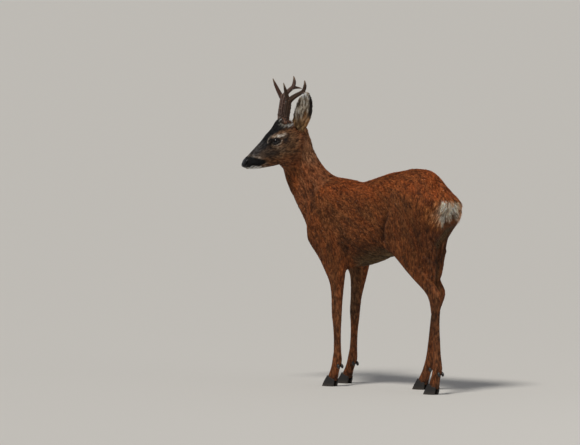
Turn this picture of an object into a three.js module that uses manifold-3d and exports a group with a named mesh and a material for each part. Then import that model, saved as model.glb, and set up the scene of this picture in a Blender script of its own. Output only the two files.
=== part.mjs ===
// A roe buck in its short summer coat, life size, standing still with its head turned to the left.
// Millimetres, +Z up, floor at z = 0. The animal faces -X and its left side is -Y.
// The body is one smooth field of flesh, made of tubes and muscles that melt together. Each part is a
// skin cast outwards from its own axis onto that field, then parted from its neighbours by a thin cut.
import * as THREE from "three";
import { mergeVertices } from "three/addons/utils/BufferGeometryUtils.js";
import Module from "manifold-3d";

const wasm = await Module();
wasm.setup();

const CUT = 0.4; // width of the thin cut between two parts
const LEFT = -1;
const RIGHT = 1;
const SIDES = { left: LEFT, right: RIGHT };

const point = (x, y, z) => new THREE.Vector3(x, y, z);
const degrees = THREE.MathUtils.degToRad;
const { clamp, lerp } = THREE.MathUtils;

// ---------------------------------------------------------------- driving sizes

const WITHERS = 702; // height of the back over the forelegs
const CROUP = 759; // highest point, over the hips
const HEAD = { origin: point(-338, -50, 852), yaw: 60, pitch: 26.3, length: 221 };
// How far each leg is carried backwards: its thigh by bending the hip, and its foot by swinging the leg.
const STANCE = {
  fore_left: { thigh: 0, foot: 8 },
  fore_right: { thigh: 0, foot: -44 },
  hind_left: { thigh: 0, foot: 84 },
  hind_right: { thigh: -58, foot: -32 },
};
const SWING_HEIGHT = { fore: 640, hind: 560 }; // the legs swing about these levels
const HIP_HEIGHT = 604;

// ---------------------------------------------------------------- fields of flesh

// Smooth curve through rows of numbers, read at a row number that may lie between two rows.
function between(rows, at) {
  const i = clamp(Math.floor(at), 0, rows.length - 2);
  const t = at - i;
  const row = (k) => rows[clamp(k, 0, rows.length - 1)];
  return rows[i].map((_, c) => {
    const [a, b, d, e] = [row(i - 1)[c], row(i)[c], row(i + 1)[c], row(i + 2)[c]];
    return b + 0.5 * t * (d - a + t * (2 * a - 5 * b + 4 * d - e + t * (3 * (b - d) + e - a)));
  });
}

// A tube through oval sections. A section has a centre, a unit side and up direction, its half width
// and half height, and its fullness: above 0 it is wider towards its up end.
function tube(sections, perSection = 5) {
  const rows = sections.map((s) => [
    ...s.centre.toArray(), ...s.side.toArray(), ...s.up.toArray(), s.width, s.height, s.fullness ?? 0,
  ]);
  const count = (rows.length - 1) * perSection;
  const samples = [];
  for (let k = 0; k <= count; k++) {
    const n = between(rows, k / perSection);
    const side = point(n[3], n[4], n[5]).normalize();
    const up = point(n[6], n[7], n[8]).normalize();
    samples.push({
      centre: point(n[0], n[1], n[2]), side, up, width: n[9], height: n[10], fullness: n[11],
    });
  }
  samples.forEach((s, k) => {
    const before = samples[Math.max(k - 1, 0)].centre;
    const after = samples[Math.min(k + 1, count)].centre;
    s.along = after.clone().sub(before).normalize();
  });
  return { samples, perSection, field: tubeField(samples) };
}

// Signed distance, near enough for blending: below 0 inside the tube.
function tubeField(samples) {
  const legs = samples.slice(1).map((s, k) => {
    const run = s.centre.clone().sub(samples[k].centre);
    return { a: samples[k], b: s, run, length2: run.lengthSq() };
  });
  const off = point(0, 0, 0);
  return (p) => {
    let best = Infinity;
    let found = legs[0];
    let share = 0;
    for (const leg of legs) {
      off.subVectors(p, leg.a.centre);
      const t = clamp(off.dot(leg.run) / leg.length2, 0, 1);
      const d2 = off.addScaledVector(leg.run, -t).lengthSq();
      if (d2 < best) [best, found, share] = [d2, leg, t];
    }
    const { a, b, run } = found;
    off.subVectors(p, a.centre).addScaledVector(run, -share);
    const height = lerp(a.height, b.height, share);
    const v = lerp(off.dot(a.up), off.dot(b.up), share);
    const full = 1 + lerp(a.fullness, b.fullness, share) * clamp(v / height, -1, 1);
    const width = lerp(a.width, b.width, share) * full;
    const w = lerp(off.dot(a.side), off.dot(b.side), share);
    const past = Math.sqrt(Math.max(off.lengthSq() - v * v - w * w, 0));
    return ovalDistance(w, v, past, width, height, Math.min(width, height));
  };
}

function ovalDistance(x, y, z, a, b, c) {
  const k0 = Math.hypot(x / a, y / b, z / c);
  const k1 = Math.hypot(x / (a * a), y / (b * b), z / (c * c));
  return k1 < 1e-9 ? -Math.min(a, b, c) : (k0 * (k0 - 1)) / k1;
}

// A muscle: an ellipsoid with its own three unit axes.
function muscle(centre, radii, axes) {
  const off = point(0, 0, 0);
  return (p) => {
    off.subVectors(p, centre);
    return ovalDistance(off.dot(axes[0]), off.dot(axes[1]), off.dot(axes[2]), ...radii);
  };
}

// Joins two fields with a fillet of about the given radius.
function melt(a, b, radius) {
  return (p) => {
    const [da, db] = [a(p), b(p)];
    const h = Math.max(radius - Math.abs(da - db), 0) / radius;
    return Math.min(da, db) - h * h * radius * 0.25;
  };
}

const BODY_AXES = [point(1, 0, 0), point(0, 1, 0), point(0, 0, 1)];

// Body axes turned about the lateral axis, nose down for a positive angle.
function tiltedAxes(angle) {
  const turn = new THREE.Quaternion().setFromAxisAngle(BODY_AXES[1], -degrees(angle));
  return BODY_AXES.map((axis) => axis.clone().applyQuaternion(turn));
}

// ---------------------------------------------------------------- trunk

// x, top of the back, underline, half width, fullness
const TRUNK_ROWS = [
  [-296, 586, 512, 28, 0],
  [-282, 622, 474, 54, 0],
  [-252, 664, 438, 73, 0],
  [-206, 692, 413, 84, 0],
  [-150, WITHERS, 404, 88, -0.04],
  [-80, 704, 408, 92, -0.1],
  [-10, 720, 427, 94, -0.12],
  [60, 741, 445, 92, -0.12],
  [120, 753, 462, 89, -0.1],
  [170, CROUP, 480, 86, -0.06],
  [220, CROUP - 4, 498, 83, -0.04],
  [260, 737, 520, 73, -0.04],
  [286, 716, 542, 60, 0],
  [300, 704, 570, 52, 0],
  [307, 674, 604, 30, 0],
];
const trunkTube = tube(
  TRUNK_ROWS.map(([x, top, bottom, width, fullness]) => ({
    centre: point(x, 0, (top + bottom) / 2),
    side: point(0, -1, 0),
    up: point(0, 0, 1),
    width,
    height: (top - bottom) / 2,
    fullness,
  })),
);

// ---------------------------------------------------------------- head frame and neck

const heading = (yaw) => point(-Math.cos(degrees(yaw)), -Math.sin(degrees(yaw)), 0);
const leftOf = (yaw) => point(Math.sin(degrees(yaw)), -Math.cos(degrees(yaw)), 0);
const headLeft = leftOf(HEAD.yaw);
const headForward = heading(HEAD.yaw)
  .multiplyScalar(Math.cos(degrees(HEAD.pitch)))
  .add(point(0, 0, -Math.sin(degrees(HEAD.pitch))));
const headUp = headForward.clone().cross(headLeft).normalize();

// A place on the head: u forward from the nape, v up from the face's axis, w to the animal's left.
const onHead = (u, v, w = 0) =>
  HEAD.origin
    .clone()
    .addScaledVector(headForward, u)
    .addScaledVector(headUp, v)
    .addScaledVector(headLeft, w);

// centre, half depth from nape to throat, half width, yaw
const NECK_ROWS = [
  [[-208, 0, 586], 110, 74, 0],
  [[-271, -4, 628], 98, 67, 4],
  [[-321, -14, 683], 78, 58, 12],
  [[-348, -29, 742], 66, 52, 24],
  [[-354, -43, 792], 56, 47, 38],
  [[-350, -54, 828], 44, 41, 52],
  [[-342, -57, 846], 25, 27, 60],
];
const neckCentres = NECK_ROWS.map(([centre]) => point(...centre));
const neckTube = tube(
  NECK_ROWS.map(([, height, width, yaw], i) => {
    const before = neckCentres[Math.max(i - 1, 0)];
    const after = neckCentres[Math.min(i + 1, neckCentres.length - 1)];
    const along = after.clone().sub(before).normalize();
    const side = leftOf(yaw);
    const up = along.clone().cross(side).negate().normalize();
    return { centre: neckCentres[i], side, up, width, height };
  }),
);

// ---------------------------------------------------------------- head

// u, top of the profile, underside, half width, fullness
const HEAD_ROWS = [
  [-14, 32, -34, 22, 0],
  [0, 44, -60, 42, 0.06],
  [30, 58, -75, 49, 0.18],
  [60, 62, -77, 50, 0.26],
  [90, 54, -71, 46, 0.3],
  [120, 41, -62, 37, 0.26],
  [150, 30, -52, 29.5, 0.12],
  [180, 20, -42, 26, 0],
  [200, 13, -33, 24, 0],
  [213, 7, -26, 20.5, 0],
  [HEAD.length, -1, -16, 13, 0],
];
const headTube = tube(
  HEAD_ROWS.map(([u, top, bottom, width, fullness]) => ({
    centre: onHead(u, (top + bottom) / 2),
    side: headLeft,
    up: headUp,
    width,
    height: (top - bottom) / 2,
    fullness,
  })),
);
const headAxes = [headForward, headUp, headLeft];
const EYE = { u: 92, v: 18, w: 35, radius: 16 };

function headMuscles(hand) {
  return [
    muscle(onHead(90, 31, 36 * hand), [25, 13, 14], headAxes), // brow over the eye
    muscle(onHead(66, -28, 33 * hand), [44, 36, 17], headAxes), // cheek
    muscle(onHead(30, 48, 22 * hand), [16, 21, 14], headAxes), // pedicle under the antler
    muscle(onHead(207, -7, 13 * hand), [14, 12, 11], headAxes), // nostril wing
  ];
}

// ---------------------------------------------------------------- legs

// front edge x and z, rear edge x and z, distance from the midline, half width
const FORELEG_ROWS = [
  [-250, 612, -132, 620, 58, 28],
  [-268, 552, -112, 556, 65, 31],
  [-267, 508, -98, 500, 68, 32],
  [-240, 456, -91, 448, 68, 30],
  [-208, 410, -98, 408, 66, 25.5],
  [-182, 366, -112, 366, 63, 21.5],
  [-173, 322, -123, 322, 61, 18],
  [-170, 284, -131, 284, 60, 16],
  [-173, 256, -132, 254, 60, 18],
  [-167, 230, -134, 228, 60, 15.5],
  [-163, 190, -138, 190, 60, 11.5],
  [-162, 132, -138, 132, 60, 11.5],
  [-167, 100, -135, 97, 60, 14.5],
  [-170, 80, -138, 77, 60, 15.5],
  [-177, 62, -148, 55, 60, 13],
  [-185, 44, -152, 36, 60, 15],
  [-193, 30, -157, 20, 60, 15],
];
const HINDLEG_ROWS = [
  [122, 642, 330, 632, 54, 38],
  [108, 592, 334, 598, 60, 41],
  [94, 548, 322, 560, 64, 40],
  [89, 520, 311, 520, 66, 37],
  [92, 490, 305, 478, 67, 33],
  [106, 458, 303, 438, 66, 29],
  [138, 424, 304, 400, 66, 25],
  [184, 390, 307, 372, 65, 21],
  [230, 354, 315, 352, 64, 18],
  [259, 322, 315, 330, 63, 18],
  [264, 295, 303, 297, 62, 16],
  [262, 262, 291, 262, 61, 13],
  [257, 190, 283, 190, 60, 12],
  [251, 126, 277, 126, 60, 12],
  [246, 98, 277, 95, 60, 15],
  [241, 80, 273, 77, 60, 16],
  [232, 62, 262, 55, 60, 13.5],
  [223, 44, 257, 36, 60, 15.5],
  [214, 30, 251, 20, 60, 15.5],
];

// How far the stance carries a leg backwards at height z.
function swing({ name, fore }, z) {
  const { thigh, foot } = STANCE[name];
  const bent = 1 - clamp(z / HIP_HEIGHT, 0, 1) ** 10;
  const swung = 1 - clamp(z / SWING_HEIGHT[fore ? "fore" : "hind"], 0, 1);
  return thigh * bent + foot * swung;
}

// The tube of a leg, or with a lean, the axis from which its skin is cast: its top leans outwards.
function legTube(leg, lean = () => 0) {
  const { hand } = leg;
  return tube(
    leg.rows.map(([xFront, zFront, xRear, zRear, middle, width]) => {
      const out = middle + lean(zFront);
      const front = point(xFront + swing(leg, zFront), out * hand, zFront);
      const rear = point(xRear + swing(leg, zRear), out * hand, zRear);
      return {
        centre: front.clone().lerp(rear, 0.5),
        side: point(0, hand, 0),
        up: front.clone().sub(rear).normalize(),
        width,
        height: front.distanceTo(rear) / 2,
      };
    }),
  );
}

// The hamstring at the back of the thigh: x, z, distance from the midline, half depth, half width
const HAMSTRING_ROWS = [
  [285, 622, 42, 28, 24],
  [285, 568, 48, 32, 27],
  [281, 510, 53, 30, 26],
  [277, 458, 58, 26, 23],
  [281, 408, 62, 20, 19],
];
const hamstring = (leg) =>
  tube(
    HAMSTRING_ROWS.map(([x, z, out, height, width]) => ({
      centre: point(x + swing(leg, z), out * leg.hand, z),
      side: point(0, leg.hand, 0),
      up: point(1, 0, 0),
      width,
      height,
    })),
    3,
  );

const LEGS = {};
for (const [side, hand] of Object.entries(SIDES)) {
  LEGS[`fore_${side}`] = { name: `fore_${side}`, rows: FORELEG_ROWS, hand, fore: true };
  LEGS[`hind_${side}`] = { name: `hind_${side}`, rows: HINDLEG_ROWS, hand, fore: false };
}
for (const leg of Object.values(LEGS)) leg.tube = legTube(leg);

// Shoulder blade, point of the shoulder, haunch and buttock of one side.
function bodyMuscles(hand) {
  const haunch = swing(hand === LEFT ? LEGS.hind_left : LEGS.hind_right, 580);
  return [
    muscle(point(-200, 60 * hand, 600), [38, 34, 92], tiltedAxes(-24)),
    muscle(point(-230, 62 * hand, 512), [38, 30, 40], BODY_AXES),
    muscle(point(213 + haunch, 56 * hand, 636), [86, 43, 66], tiltedAxes(-14)),
    muscle(point(266, 38 * hand, 620), [36, 29, 54], BODY_AXES),
  ];
}

// ---------------------------------------------------------------- the whole field

const FILLET = { neck: 42, nape: 22, leg: 34, thigh: 26, muscle: 30, face: 14 };
let head = headTube.field;
let body = melt(trunkTube.field, neckTube.field, FILLET.neck);
for (const hand of Object.values(SIDES)) {
  for (const part of headMuscles(hand)) head = melt(head, part, FILLET.face);
  for (const part of bodyMuscles(hand)) body = melt(body, part, FILLET.muscle);
}
head = melt(head, muscle(onHead(44, 52), [30, 25, 27], headAxes), FILLET.face); // crown tuft
for (const leg of Object.values(LEGS)) {
  const field = leg.fore ? leg.tube.field : melt(leg.tube.field, hamstring(leg).field, FILLET.thigh);
  body = melt(body, field, FILLET.leg);
}
const flesh = melt(body, head, FILLET.nape);

// ---------------------------------------------------------------- cuts

// A plane through two places, square to a direction that lies in it, with its normal towards `to`.
function plane(a, b, within, to) {
  const normal = b.clone().sub(a).cross(within).normalize();
  if (normal.dot(to.clone().sub(a)) < 0) normal.negate();
  return { normal, at: normal.dot(a) };
}
const acrossPlane = (cut) => (p) => cut.normal.dot(p) - cut.at;

const lateral = point(0, 1, 0);
const NECK_CUT = plane(point(-196, 0, 716), point(-318, 0, 566), lateral, point(-400, 0, 800));
const HEAD_CUT = plane(onHead(-28, 40), onHead(50, -85), headLeft, onHead(150, 0));

// A leg is what lies below its slanted cut and past its upright one. Both normals point to the trunk.
function legCuts(leg) {
  const { hand, fore } = leg;
  const ahead = point(1, 0, 0);
  const middle = point(0, 0, 650);
  if (fore) {
    const armpit = point(0, 24 * hand, 400);
    const shoulder = point(0, 98 * hand, 492);
    const x = -80 + swing(leg, 450);
    return [
      plane(armpit, shoulder, ahead, middle),
      plane(point(x, 0, 300), point(x + 4, 0, 500), lateral, middle),
    ];
  }
  const crotch = point(0, 5 * hand, 456);
  const hip = point(0, 104 * hand, 566);
  const x = 76 + swing(leg, 510);
  return [
    plane(crotch, hip, ahead, middle),
    plane(point(x - 10, 0, 400), point(x + 12, 0, 560), lateral, point(0, 0, 480)),
  ];
}
for (const leg of Object.values(LEGS)) leg.cuts = legCuts(leg);

// Field that is below 0 inside all of the cuts' leg sides, moved outwards by some millimetres.
const inLeg = (leg, grow) => {
  const planes = leg.cuts.map(acrossPlane);
  return (p) => Math.max(...planes.map((f) => f(p))) - grow;
};

// ---------------------------------------------------------------- casting the skins

const STEP = 3;
const REACH = 190;

// Distance along a ray to the field's surface.
function cast(field, from, direction, level) {
  const p = point(0, 0, 0);
  const value = (r) => field(p.copy(from).addScaledVector(direction, r)) - level;
  let far = STEP;
  while (far < REACH && value(far) < 0) far += STEP;
  let near = far - STEP;
  for (let k = 0; k < 14; k++) {
    const middle = (near + far) / 2;
    if (value(middle) < 0) near = middle;
    else far = middle;
  }
  return Math.max(near, 0.05);
}

// A closed geometry from rings of points and a pole at each end, with its faces outwards.
function closedRings(rings, firstPole, lastPole) {
  const n = rings[0].length;
  const vertices = [firstPole, ...rings.flat(), lastPole];
  const last = vertices.length - 1;
  const faces = [];
  for (let j = 0; j < n; j++) {
    const k = (j + 1) % n;
    faces.push([0, 1 + k, 1 + j]);
    faces.push([last, last - n + j, last - n + k]);
    for (let i = 0; i + 1 < rings.length; i++) {
      const [a, b] = [1 + i * n, 1 + (i + 1) * n];
      faces.push([a + j, a + k, b + j], [b + j, a + k, b + k]);
    }
  }
  const volume = faces.reduce((sum, [a, b, c]) => {
    return sum + vertices[a].dot(vertices[b].clone().cross(vertices[c]));
  }, 0);
  const index = faces.flatMap((f) => (volume < 0 ? [f[0], f[2], f[1]] : f));
  const geometry = new THREE.BufferGeometry().setFromPoints(vertices);
  geometry.setIndex(index);
  return geometry;
}

// The skin of a part: rays from a tube's axis, from one section number to another, onto a field. Each
// end is closed by rings whose rays lean more and more along the axis, as on a dome.
function castSkin(shape, field, { from, to, rings, sides, domes = [1, 1], level = 0 }) {
  const frameAt = (section) => {
    const at = section * shape.perSection;
    const i = clamp(Math.floor(at), 0, shape.samples.length - 2);
    const [a, b] = [shape.samples[i], shape.samples[i + 1]];
    const mix = (key) => a[key].clone().lerp(b[key], at - i);
    const centre = mix("centre");
    const along = mix("along").normalize();
    const [width, height] = [lerp(a.width, b.width, at - i), lerp(a.height, b.height, at - i)];
    return { centre, side: mix("side"), up: mix("up"), along, width, height };
  };
  const ringAt = (f, leaning) =>
    Array.from({ length: sides }, (_, j) => {
      const angle = (2 * Math.PI * (j + 0.5)) / sides;
      const ray = f.side
        .clone()
        .multiplyScalar(f.width * Math.cos(angle))
        .addScaledVector(f.up, f.height * Math.sin(angle))
        .normalize()
        .multiplyScalar(Math.cos(leaning))
        .addScaledVector(f.along, Math.sin(leaning));
      return f.centre.clone().addScaledVector(ray, cast(field, f.centre, ray, level));
    });
  const domeOf = (f, count, sign) =>
    Array.from({ length: count }, (_, k) => ringAt(f, (sign * Math.PI * (k + 1)) / (2 * (count + 1))));
  const pole = (f, sign) => {
    const ray = f.along.clone().multiplyScalar(sign);
    return f.centre.clone().addScaledVector(ray, cast(field, f.centre, ray, level));
  };
  const [first, last] = [frameAt(from), frameAt(to)];
  const body = [];
  for (let k = 0; k <= rings; k++) body.push(ringAt(frameAt(lerp(from, to, k / rings)), 0));
  const made = [...domeOf(first, domes[0], -1).reverse(), ...body, ...domeOf(last, domes[1], 1)];
  return closedRings(made, pole(first, -1), pole(last, 1));
}

// ---------------------------------------------------------------- solids

function solid(geometry) {
  const bare = geometry.clone();
  bare.deleteAttribute("normal");
  bare.deleteAttribute("uv");
  const merged = mergeVertices(bare, 1e-4);
  return new wasm.Manifold(
    new wasm.Mesh({
      numProp: 3,
      vertProperties: new Float32Array(merged.attributes.position.array),
      triVerts: new Uint32Array(merged.index.array),
    }),
  );
}

// All that lies behind a plane, as a large box, moved along the normal by some millimetres.
function behind(cut, moved) {
  const size = 2400;
  const box = new THREE.BoxGeometry(size, size, size);
  const turn = new THREE.Quaternion().setFromUnitVectors(point(0, 0, 1), cut.normal);
  const centre = cut.normal.clone().multiplyScalar(cut.at + moved - size / 2);
  box.applyMatrix4(new THREE.Matrix4().compose(centre, turn, point(1, 1, 1)));
  return solid(box);
}

// The main body of a shape, without the chips that a cut may leave.
function mainBody(shape) {
  return shape.decompose().reduce((a, b) => (b.volume() > a.volume() ? b : a));
}

const MARGIN = 14; // how far a skin runs past its cut before it is trimmed
const model = new THREE.Group();

function add(name, shape, material) {
  const { numProp, vertProperties, triVerts } = mainBody(shape).getMesh();
  const places = [];
  for (let i = 0; i < vertProperties.length; i += numProp) {
    places.push(vertProperties[i], vertProperties[i + 1], vertProperties[i + 2]);
  }
  const geometry = new THREE.BufferGeometry();
  geometry.setAttribute("position", new THREE.Float32BufferAttribute(places, 3));
  geometry.setIndex(Array.from(triVerts));
  geometry.computeVertexNormals();
  const mesh = new THREE.Mesh(geometry, material);
  mesh.name = name;
  model.add(mesh);
}

const finish = (color, roughness) => new THREE.MeshStandardMaterial({ color, roughness, metalness: 0 });
const COAT = finish(0x8a4526, 0.85);
const FACE = finish(0x5b4636, 0.85);
const EAR = finish(0x9a7b5c, 0.85);
const RUMP = finish(0xd9c3a5, 0.9);
const ANTLER = finish(0x5d4034, 0.6);
const HORN = finish(0x1d1a18, 0.4);
const EYEBALL = finish(0x0c0a0a, 0.05);

// ---------------------------------------------------------------- trunk, neck and head

const trunkLimit = (p) =>
  Math.max(
    flesh(p),
    acrossPlane(NECK_CUT)(p) - MARGIN,
    ...Object.values(LEGS).map((leg) => -inLeg(leg, -MARGIN)(p)),
  );
const trunkRings = { from: 0.7, to: 11.6, rings: 21, sides: 26, domes: [2, 4] };
let trunk = solid(
  castSkin(trunkTube, trunkLimit, trunkRings),
).intersect(behind(NECK_CUT, -CUT / 2));
for (const leg of Object.values(LEGS)) {
  trunk = trunk.subtract(behind(leg.cuts[0], CUT / 2).intersect(behind(leg.cuts[1], CUT / 2)));
}
add("trunk", trunk, COAT);

const flipped = (cut) => ({ normal: cut.normal.clone().negate(), at: -cut.at });
const THROAT = 70; // how far the neck's flesh runs on under the jaw
const neckLimit = (p) =>
  Math.max(flesh(p), -acrossPlane(NECK_CUT)(p) - MARGIN, acrossPlane(HEAD_CUT)(p) - THROAT);
const neckSkin = (level, from, rings) =>
  solid(castSkin(neckTube, neckLimit, { from, to: 5.8, rings, sides: 20, level }));
const neckAndThroat = neckSkin(0, 0.85, 11).intersect(behind(flipped(NECK_CUT), -CUT / 2));
const neck = neckAndThroat.intersect(behind(HEAD_CUT, -CUT / 2));
const jaw = plane(onHead(0, -46), onHead(90, -56), headLeft, onHead(50, 50));
const throat = neckAndThroat.intersect(behind(jaw, 0));
add("neck", neck, COAT);

const headLimit = (p) => Math.max(flesh(p), -acrossPlane(HEAD_CUT)(p) - MARGIN);
const headRings = { from: 0.7, to: 9.7, rings: 20, sides: 22, domes: [1, 2] };
const headSkin = (level) => solid(castSkin(headTube, headLimit, { ...headRings, level }));

function ball(centre, radius) {
  return solid(new THREE.SphereGeometry(radius, 10, 6).translate(...centre.toArray()));
}
let headSolid = headSkin(0).add(throat).intersect(behind(flipped(HEAD_CUT), -CUT / 2));
for (const hand of Object.values(SIDES)) {
  headSolid = headSolid.subtract(ball(onHead(EYE.u, EYE.v, -EYE.w * hand), EYE.radius + CUT));
}
add("head", headSolid, FACE);
for (const [name, hand] of Object.entries(SIDES)) {
  add(`eye_${name}`, ball(onHead(EYE.u, EYE.v, -EYE.w * hand), EYE.radius), EYEBALL);
}
// The head and neck, a cut larger, as the tool that trims what is set on them.
const seat = headSkin(CUT).add(neckSkin(CUT, 2.9, 9));

// ---------------------------------------------------------------- ears

// Each ear: where it grows from, its tip, and the way its cup opens, in head places.
const EARS = {
  left: { root: [9, 15, 38], tip: [-71, 124, 74], opens: [0.5, 0.05, 0.86] },
  right: { root: [0, 12, -36], tip: [-100, 72, -92], opens: [0.1, 0.1, -0.99] },
};
// share of the length, half width, depth of the cup's back, depth of its hollow
const EAR_ROWS = [
  [0, 18, 15, 1],
  [0.12, 24, 18, 4],
  [0.28, 30, 20, 13],
  [0.45, 32, 18, 14],
  [0.62, 30, 14, 10.5],
  [0.78, 25, 10, 7],
  [0.9, 17, 6.5, 3.6],
  [0.98, 7, 3.4, 1],
];
const EAR_ARC = 5; // points along each side of the cup

function earSolid({ root, tip, opens }) {
  const base = onHead(...root);
  const end = onHead(...tip);
  const along = end.clone().sub(base);
  const opening = onHead(...opens).sub(HEAD.origin);
  opening.addScaledVector(along, -opening.dot(along) / along.lengthSq()).normalize();
  const across = along.clone().normalize().cross(opening);
  const rings = [];
  const count = 9;
  for (let k = 0; k <= count; k++) {
    const [share, width, back, hollow] = between(EAR_ROWS, (k / count) * (EAR_ROWS.length - 1));
    const bend = 10 * Math.sin(Math.PI * share); // the blade bows backwards a little
    const centre = base.clone().addScaledVector(along, share).addScaledVector(opening, -bend);
    const place = (x, y) => centre.clone().addScaledVector(across, x).addScaledVector(opening, y);
    const ring = [];
    for (let j = 0; j <= EAR_ARC; j++) {
      const angle = (Math.PI * j) / EAR_ARC;
      ring.push(place(width * Math.cos(angle), -back * Math.sin(angle)));
    }
    for (let j = EAR_ARC - 1; j > 0; j--) {
      const angle = (Math.PI * j) / EAR_ARC;
      ring.push(place((width - 2.4) * Math.cos(angle), -hollow * Math.sin(angle)));
    }
    rings.push(ring);
  }
  return solid(closedRings(rings, centreOf(rings[0]), end));
}

function centreOf(ring) {
  return ring.reduce((sum, p) => sum.add(p), point(0, 0, 0)).divideScalar(ring.length);
}
for (const [name, ear] of Object.entries(EARS)) add(`ear_${name}`, earSolid(ear).subtract(seat), EAR);

// ---------------------------------------------------------------- antlers

// Places on the head, with w counted outwards. The main beam runs from the burr over two forks.
const ANTLERS = {
  left: {
    beam: [
      [32, 61, 24], [17, 80, 27], [1, 105, 33], [-11, 122, 38],
      [-40, 128, 44], [-65, 130, 49], [-80, 145, 51], [-86, 162, 52],
    ],
    front: [[-6, 116, 36], [-10, 141, 40], [-14, 164, 43], [-18, 187, 45]],
    rear: [[-56, 129, 47], [-68, 124, 57], [-78, 117, 68]],
  },
  right: {
    beam: [
      [32, 61, 24], [22, 82, 27], [1, 110, 33], [-15, 128, 40],
      [-41, 138, 49], [-64, 142, 57], [-77, 156, 60], [-83, 173, 62],
    ],
    front: [[-9, 124, 38], [-9, 152, 44], [-10, 178, 49], [-12, 201, 52]],
    rear: [[-54, 140, 54], [-72, 135, 59], [-90, 122, 62]],
  },
};
const BEAM_RADII = [12.5, 11, 10.5, 10, 7.5, 6.8, 5.4, 1.2];
const FRONT_RADII = [8.6, 7, 5, 1];
const REAR_RADII = [5.5, 4.6, 1];
const FORKS = [3, 5]; // beam places where it forks
const PAST_FORK = 0.45; // how far past a fork the beam is parted, in beam places
const ANTLER_SIDES = 7;

const along = (places, share) => {
  const rows = places.map((p) => p.toArray());
  return point(...between(rows, share));
};

// A round horn through places, with a radius for each.
function horn(places, radii, { perPlace = 2, grow = 0 } = {}) {
  const count = (places.length - 1) * perPlace;
  const rings = [];
  let side = headLeft.clone();
  for (let k = 0; k <= count; k++) {
    const at = k / perPlace;
    const centre = along(places, at);
    const run = along(places, Math.min(at + 0.05, places.length - 1))
      .sub(along(places, Math.max(at - 0.05, 0)))
      .normalize();
    side = side.clone().addScaledVector(run, -side.dot(run)).normalize();
    const other = run.clone().cross(side);
    const [radius] = between(radii.map((r) => [r]), at);
    rings.push(
      Array.from({ length: ANTLER_SIDES }, (_, j) => {
        const angle = (2 * Math.PI * j) / ANTLER_SIDES;
        return centre
          .clone()
          .addScaledVector(side, (radius + grow) * Math.cos(angle))
          .addScaledVector(other, (radius + grow) * Math.sin(angle));
      }),
    );
  }
  return solid(closedRings(rings, places[0], places[places.length - 1]));
}

// The burr: a collar where the antler leaves the skin. Its profile is radius and height.
const BURR_PROFILE = [[0, -4], [14, -4], [17, 1], [13, 7], [0, 7]];

function burr(at, run) {
  const profile = BURR_PROFILE;
  const collar = new THREE.LatheGeometry(profile.map(([r, h]) => new THREE.Vector2(r, h)), 12);
  const turn = new THREE.Quaternion().setFromUnitVectors(point(0, 1, 0), run);
  collar.applyMatrix4(new THREE.Matrix4().compose(at, turn, point(1, 1, 1)));
  return solid(collar);
}

for (const [name, hand] of Object.entries(SIDES)) {
  const placed = (rows) => rows.map(([u, v, w]) => onHead(u, v, -w * hand));
  const { beam, front, rear } = ANTLERS[name];
  const places = placed(beam);
  const main = horn(places, BEAM_RADII);
  const mainGrown = horn(places, BEAM_RADII, { grow: CUT });
  const cuts = FORKS.map((i) => {
    const at = along(places, i + PAST_FORK);
    const normal = along(places, i + PAST_FORK + 0.05).sub(along(places, i + PAST_FORK - 0.05));
    normal.normalize();
    return { normal, at: normal.dot(at) };
  });
  const collar = burr(places[0], places[1].clone().sub(places[0]).normalize());
  const trimmed = (shape) => shape.subtract(seat);
  add(`antler_${name}_beam`, trimmed(main.add(collar).intersect(behind(cuts[0], -CUT / 2))), ANTLER);
  add(
    `antler_${name}_upper_beam`,
    main.intersect(behind(flipped(cuts[0]), -CUT / 2)).intersect(behind(cuts[1], -CUT / 2)),
    ANTLER,
  );
  add(`antler_${name}_top_tine`, main.intersect(behind(flipped(cuts[1]), -CUT / 2)), ANTLER);
  add(`antler_${name}_front_tine`, horn(placed(front), FRONT_RADII).subtract(mainGrown), ANTLER);
  add(`antler_${name}_rear_tine`, horn(placed(rear), REAR_RADII).subtract(mainGrown), ANTLER);
}

// ---------------------------------------------------------------- tail

// x, z, half width, half thickness: a short knob that lies close to the rump
const TAIL_ROWS = [
  [281, 703, 15, 11],
  [295, 690, 18, 11],
  [307, 674, 16, 10],
  [314, 658, 8, 6],
];
const TAIL_UP = point(0.72, 0, 0.7);
const tailTube = tube(
  TAIL_ROWS.map(([x, z, width, height]) => ({
    centre: point(x, 0, z),
    side: point(0, -1, 0),
    up: TAIL_UP,
    width,
    height,
  })),
);
const trunkGrown = solid(
  castSkin(trunkTube, trunkLimit, { ...trunkRings, level: CUT }),
);
const tail = solid(castSkin(tailTube, tailTube.field, { from: 0, to: 3, rings: 5, sides: 8 }));
add("tail", tail.subtract(trunkGrown), RUMP);

// ---------------------------------------------------------------- legs, hooves and dewclaws

const TRIM = 1; // how much of its last section a leg loses where the hooves begin
const HOOF = { length: 50, width: 18.5, toeHeight: 38, heelHeight: 24, spread: 9.6, splay: 2.5 };
const HOOF_AHEAD = 37; // the toe, ahead of the middle of the pastern's end
// share of the height, size against the sole, share of the length that it leans back
const HOOF_LEVELS = [
  [0, 1, 0],
  [0.45, 0.9, 0.13],
  [1, 0.64, 0.3],
];
const HOOF_SIDES = 10;
const HOOF_FULLEST = 0.62; // below 1 the claw is widest towards its toe, and blunt

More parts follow.
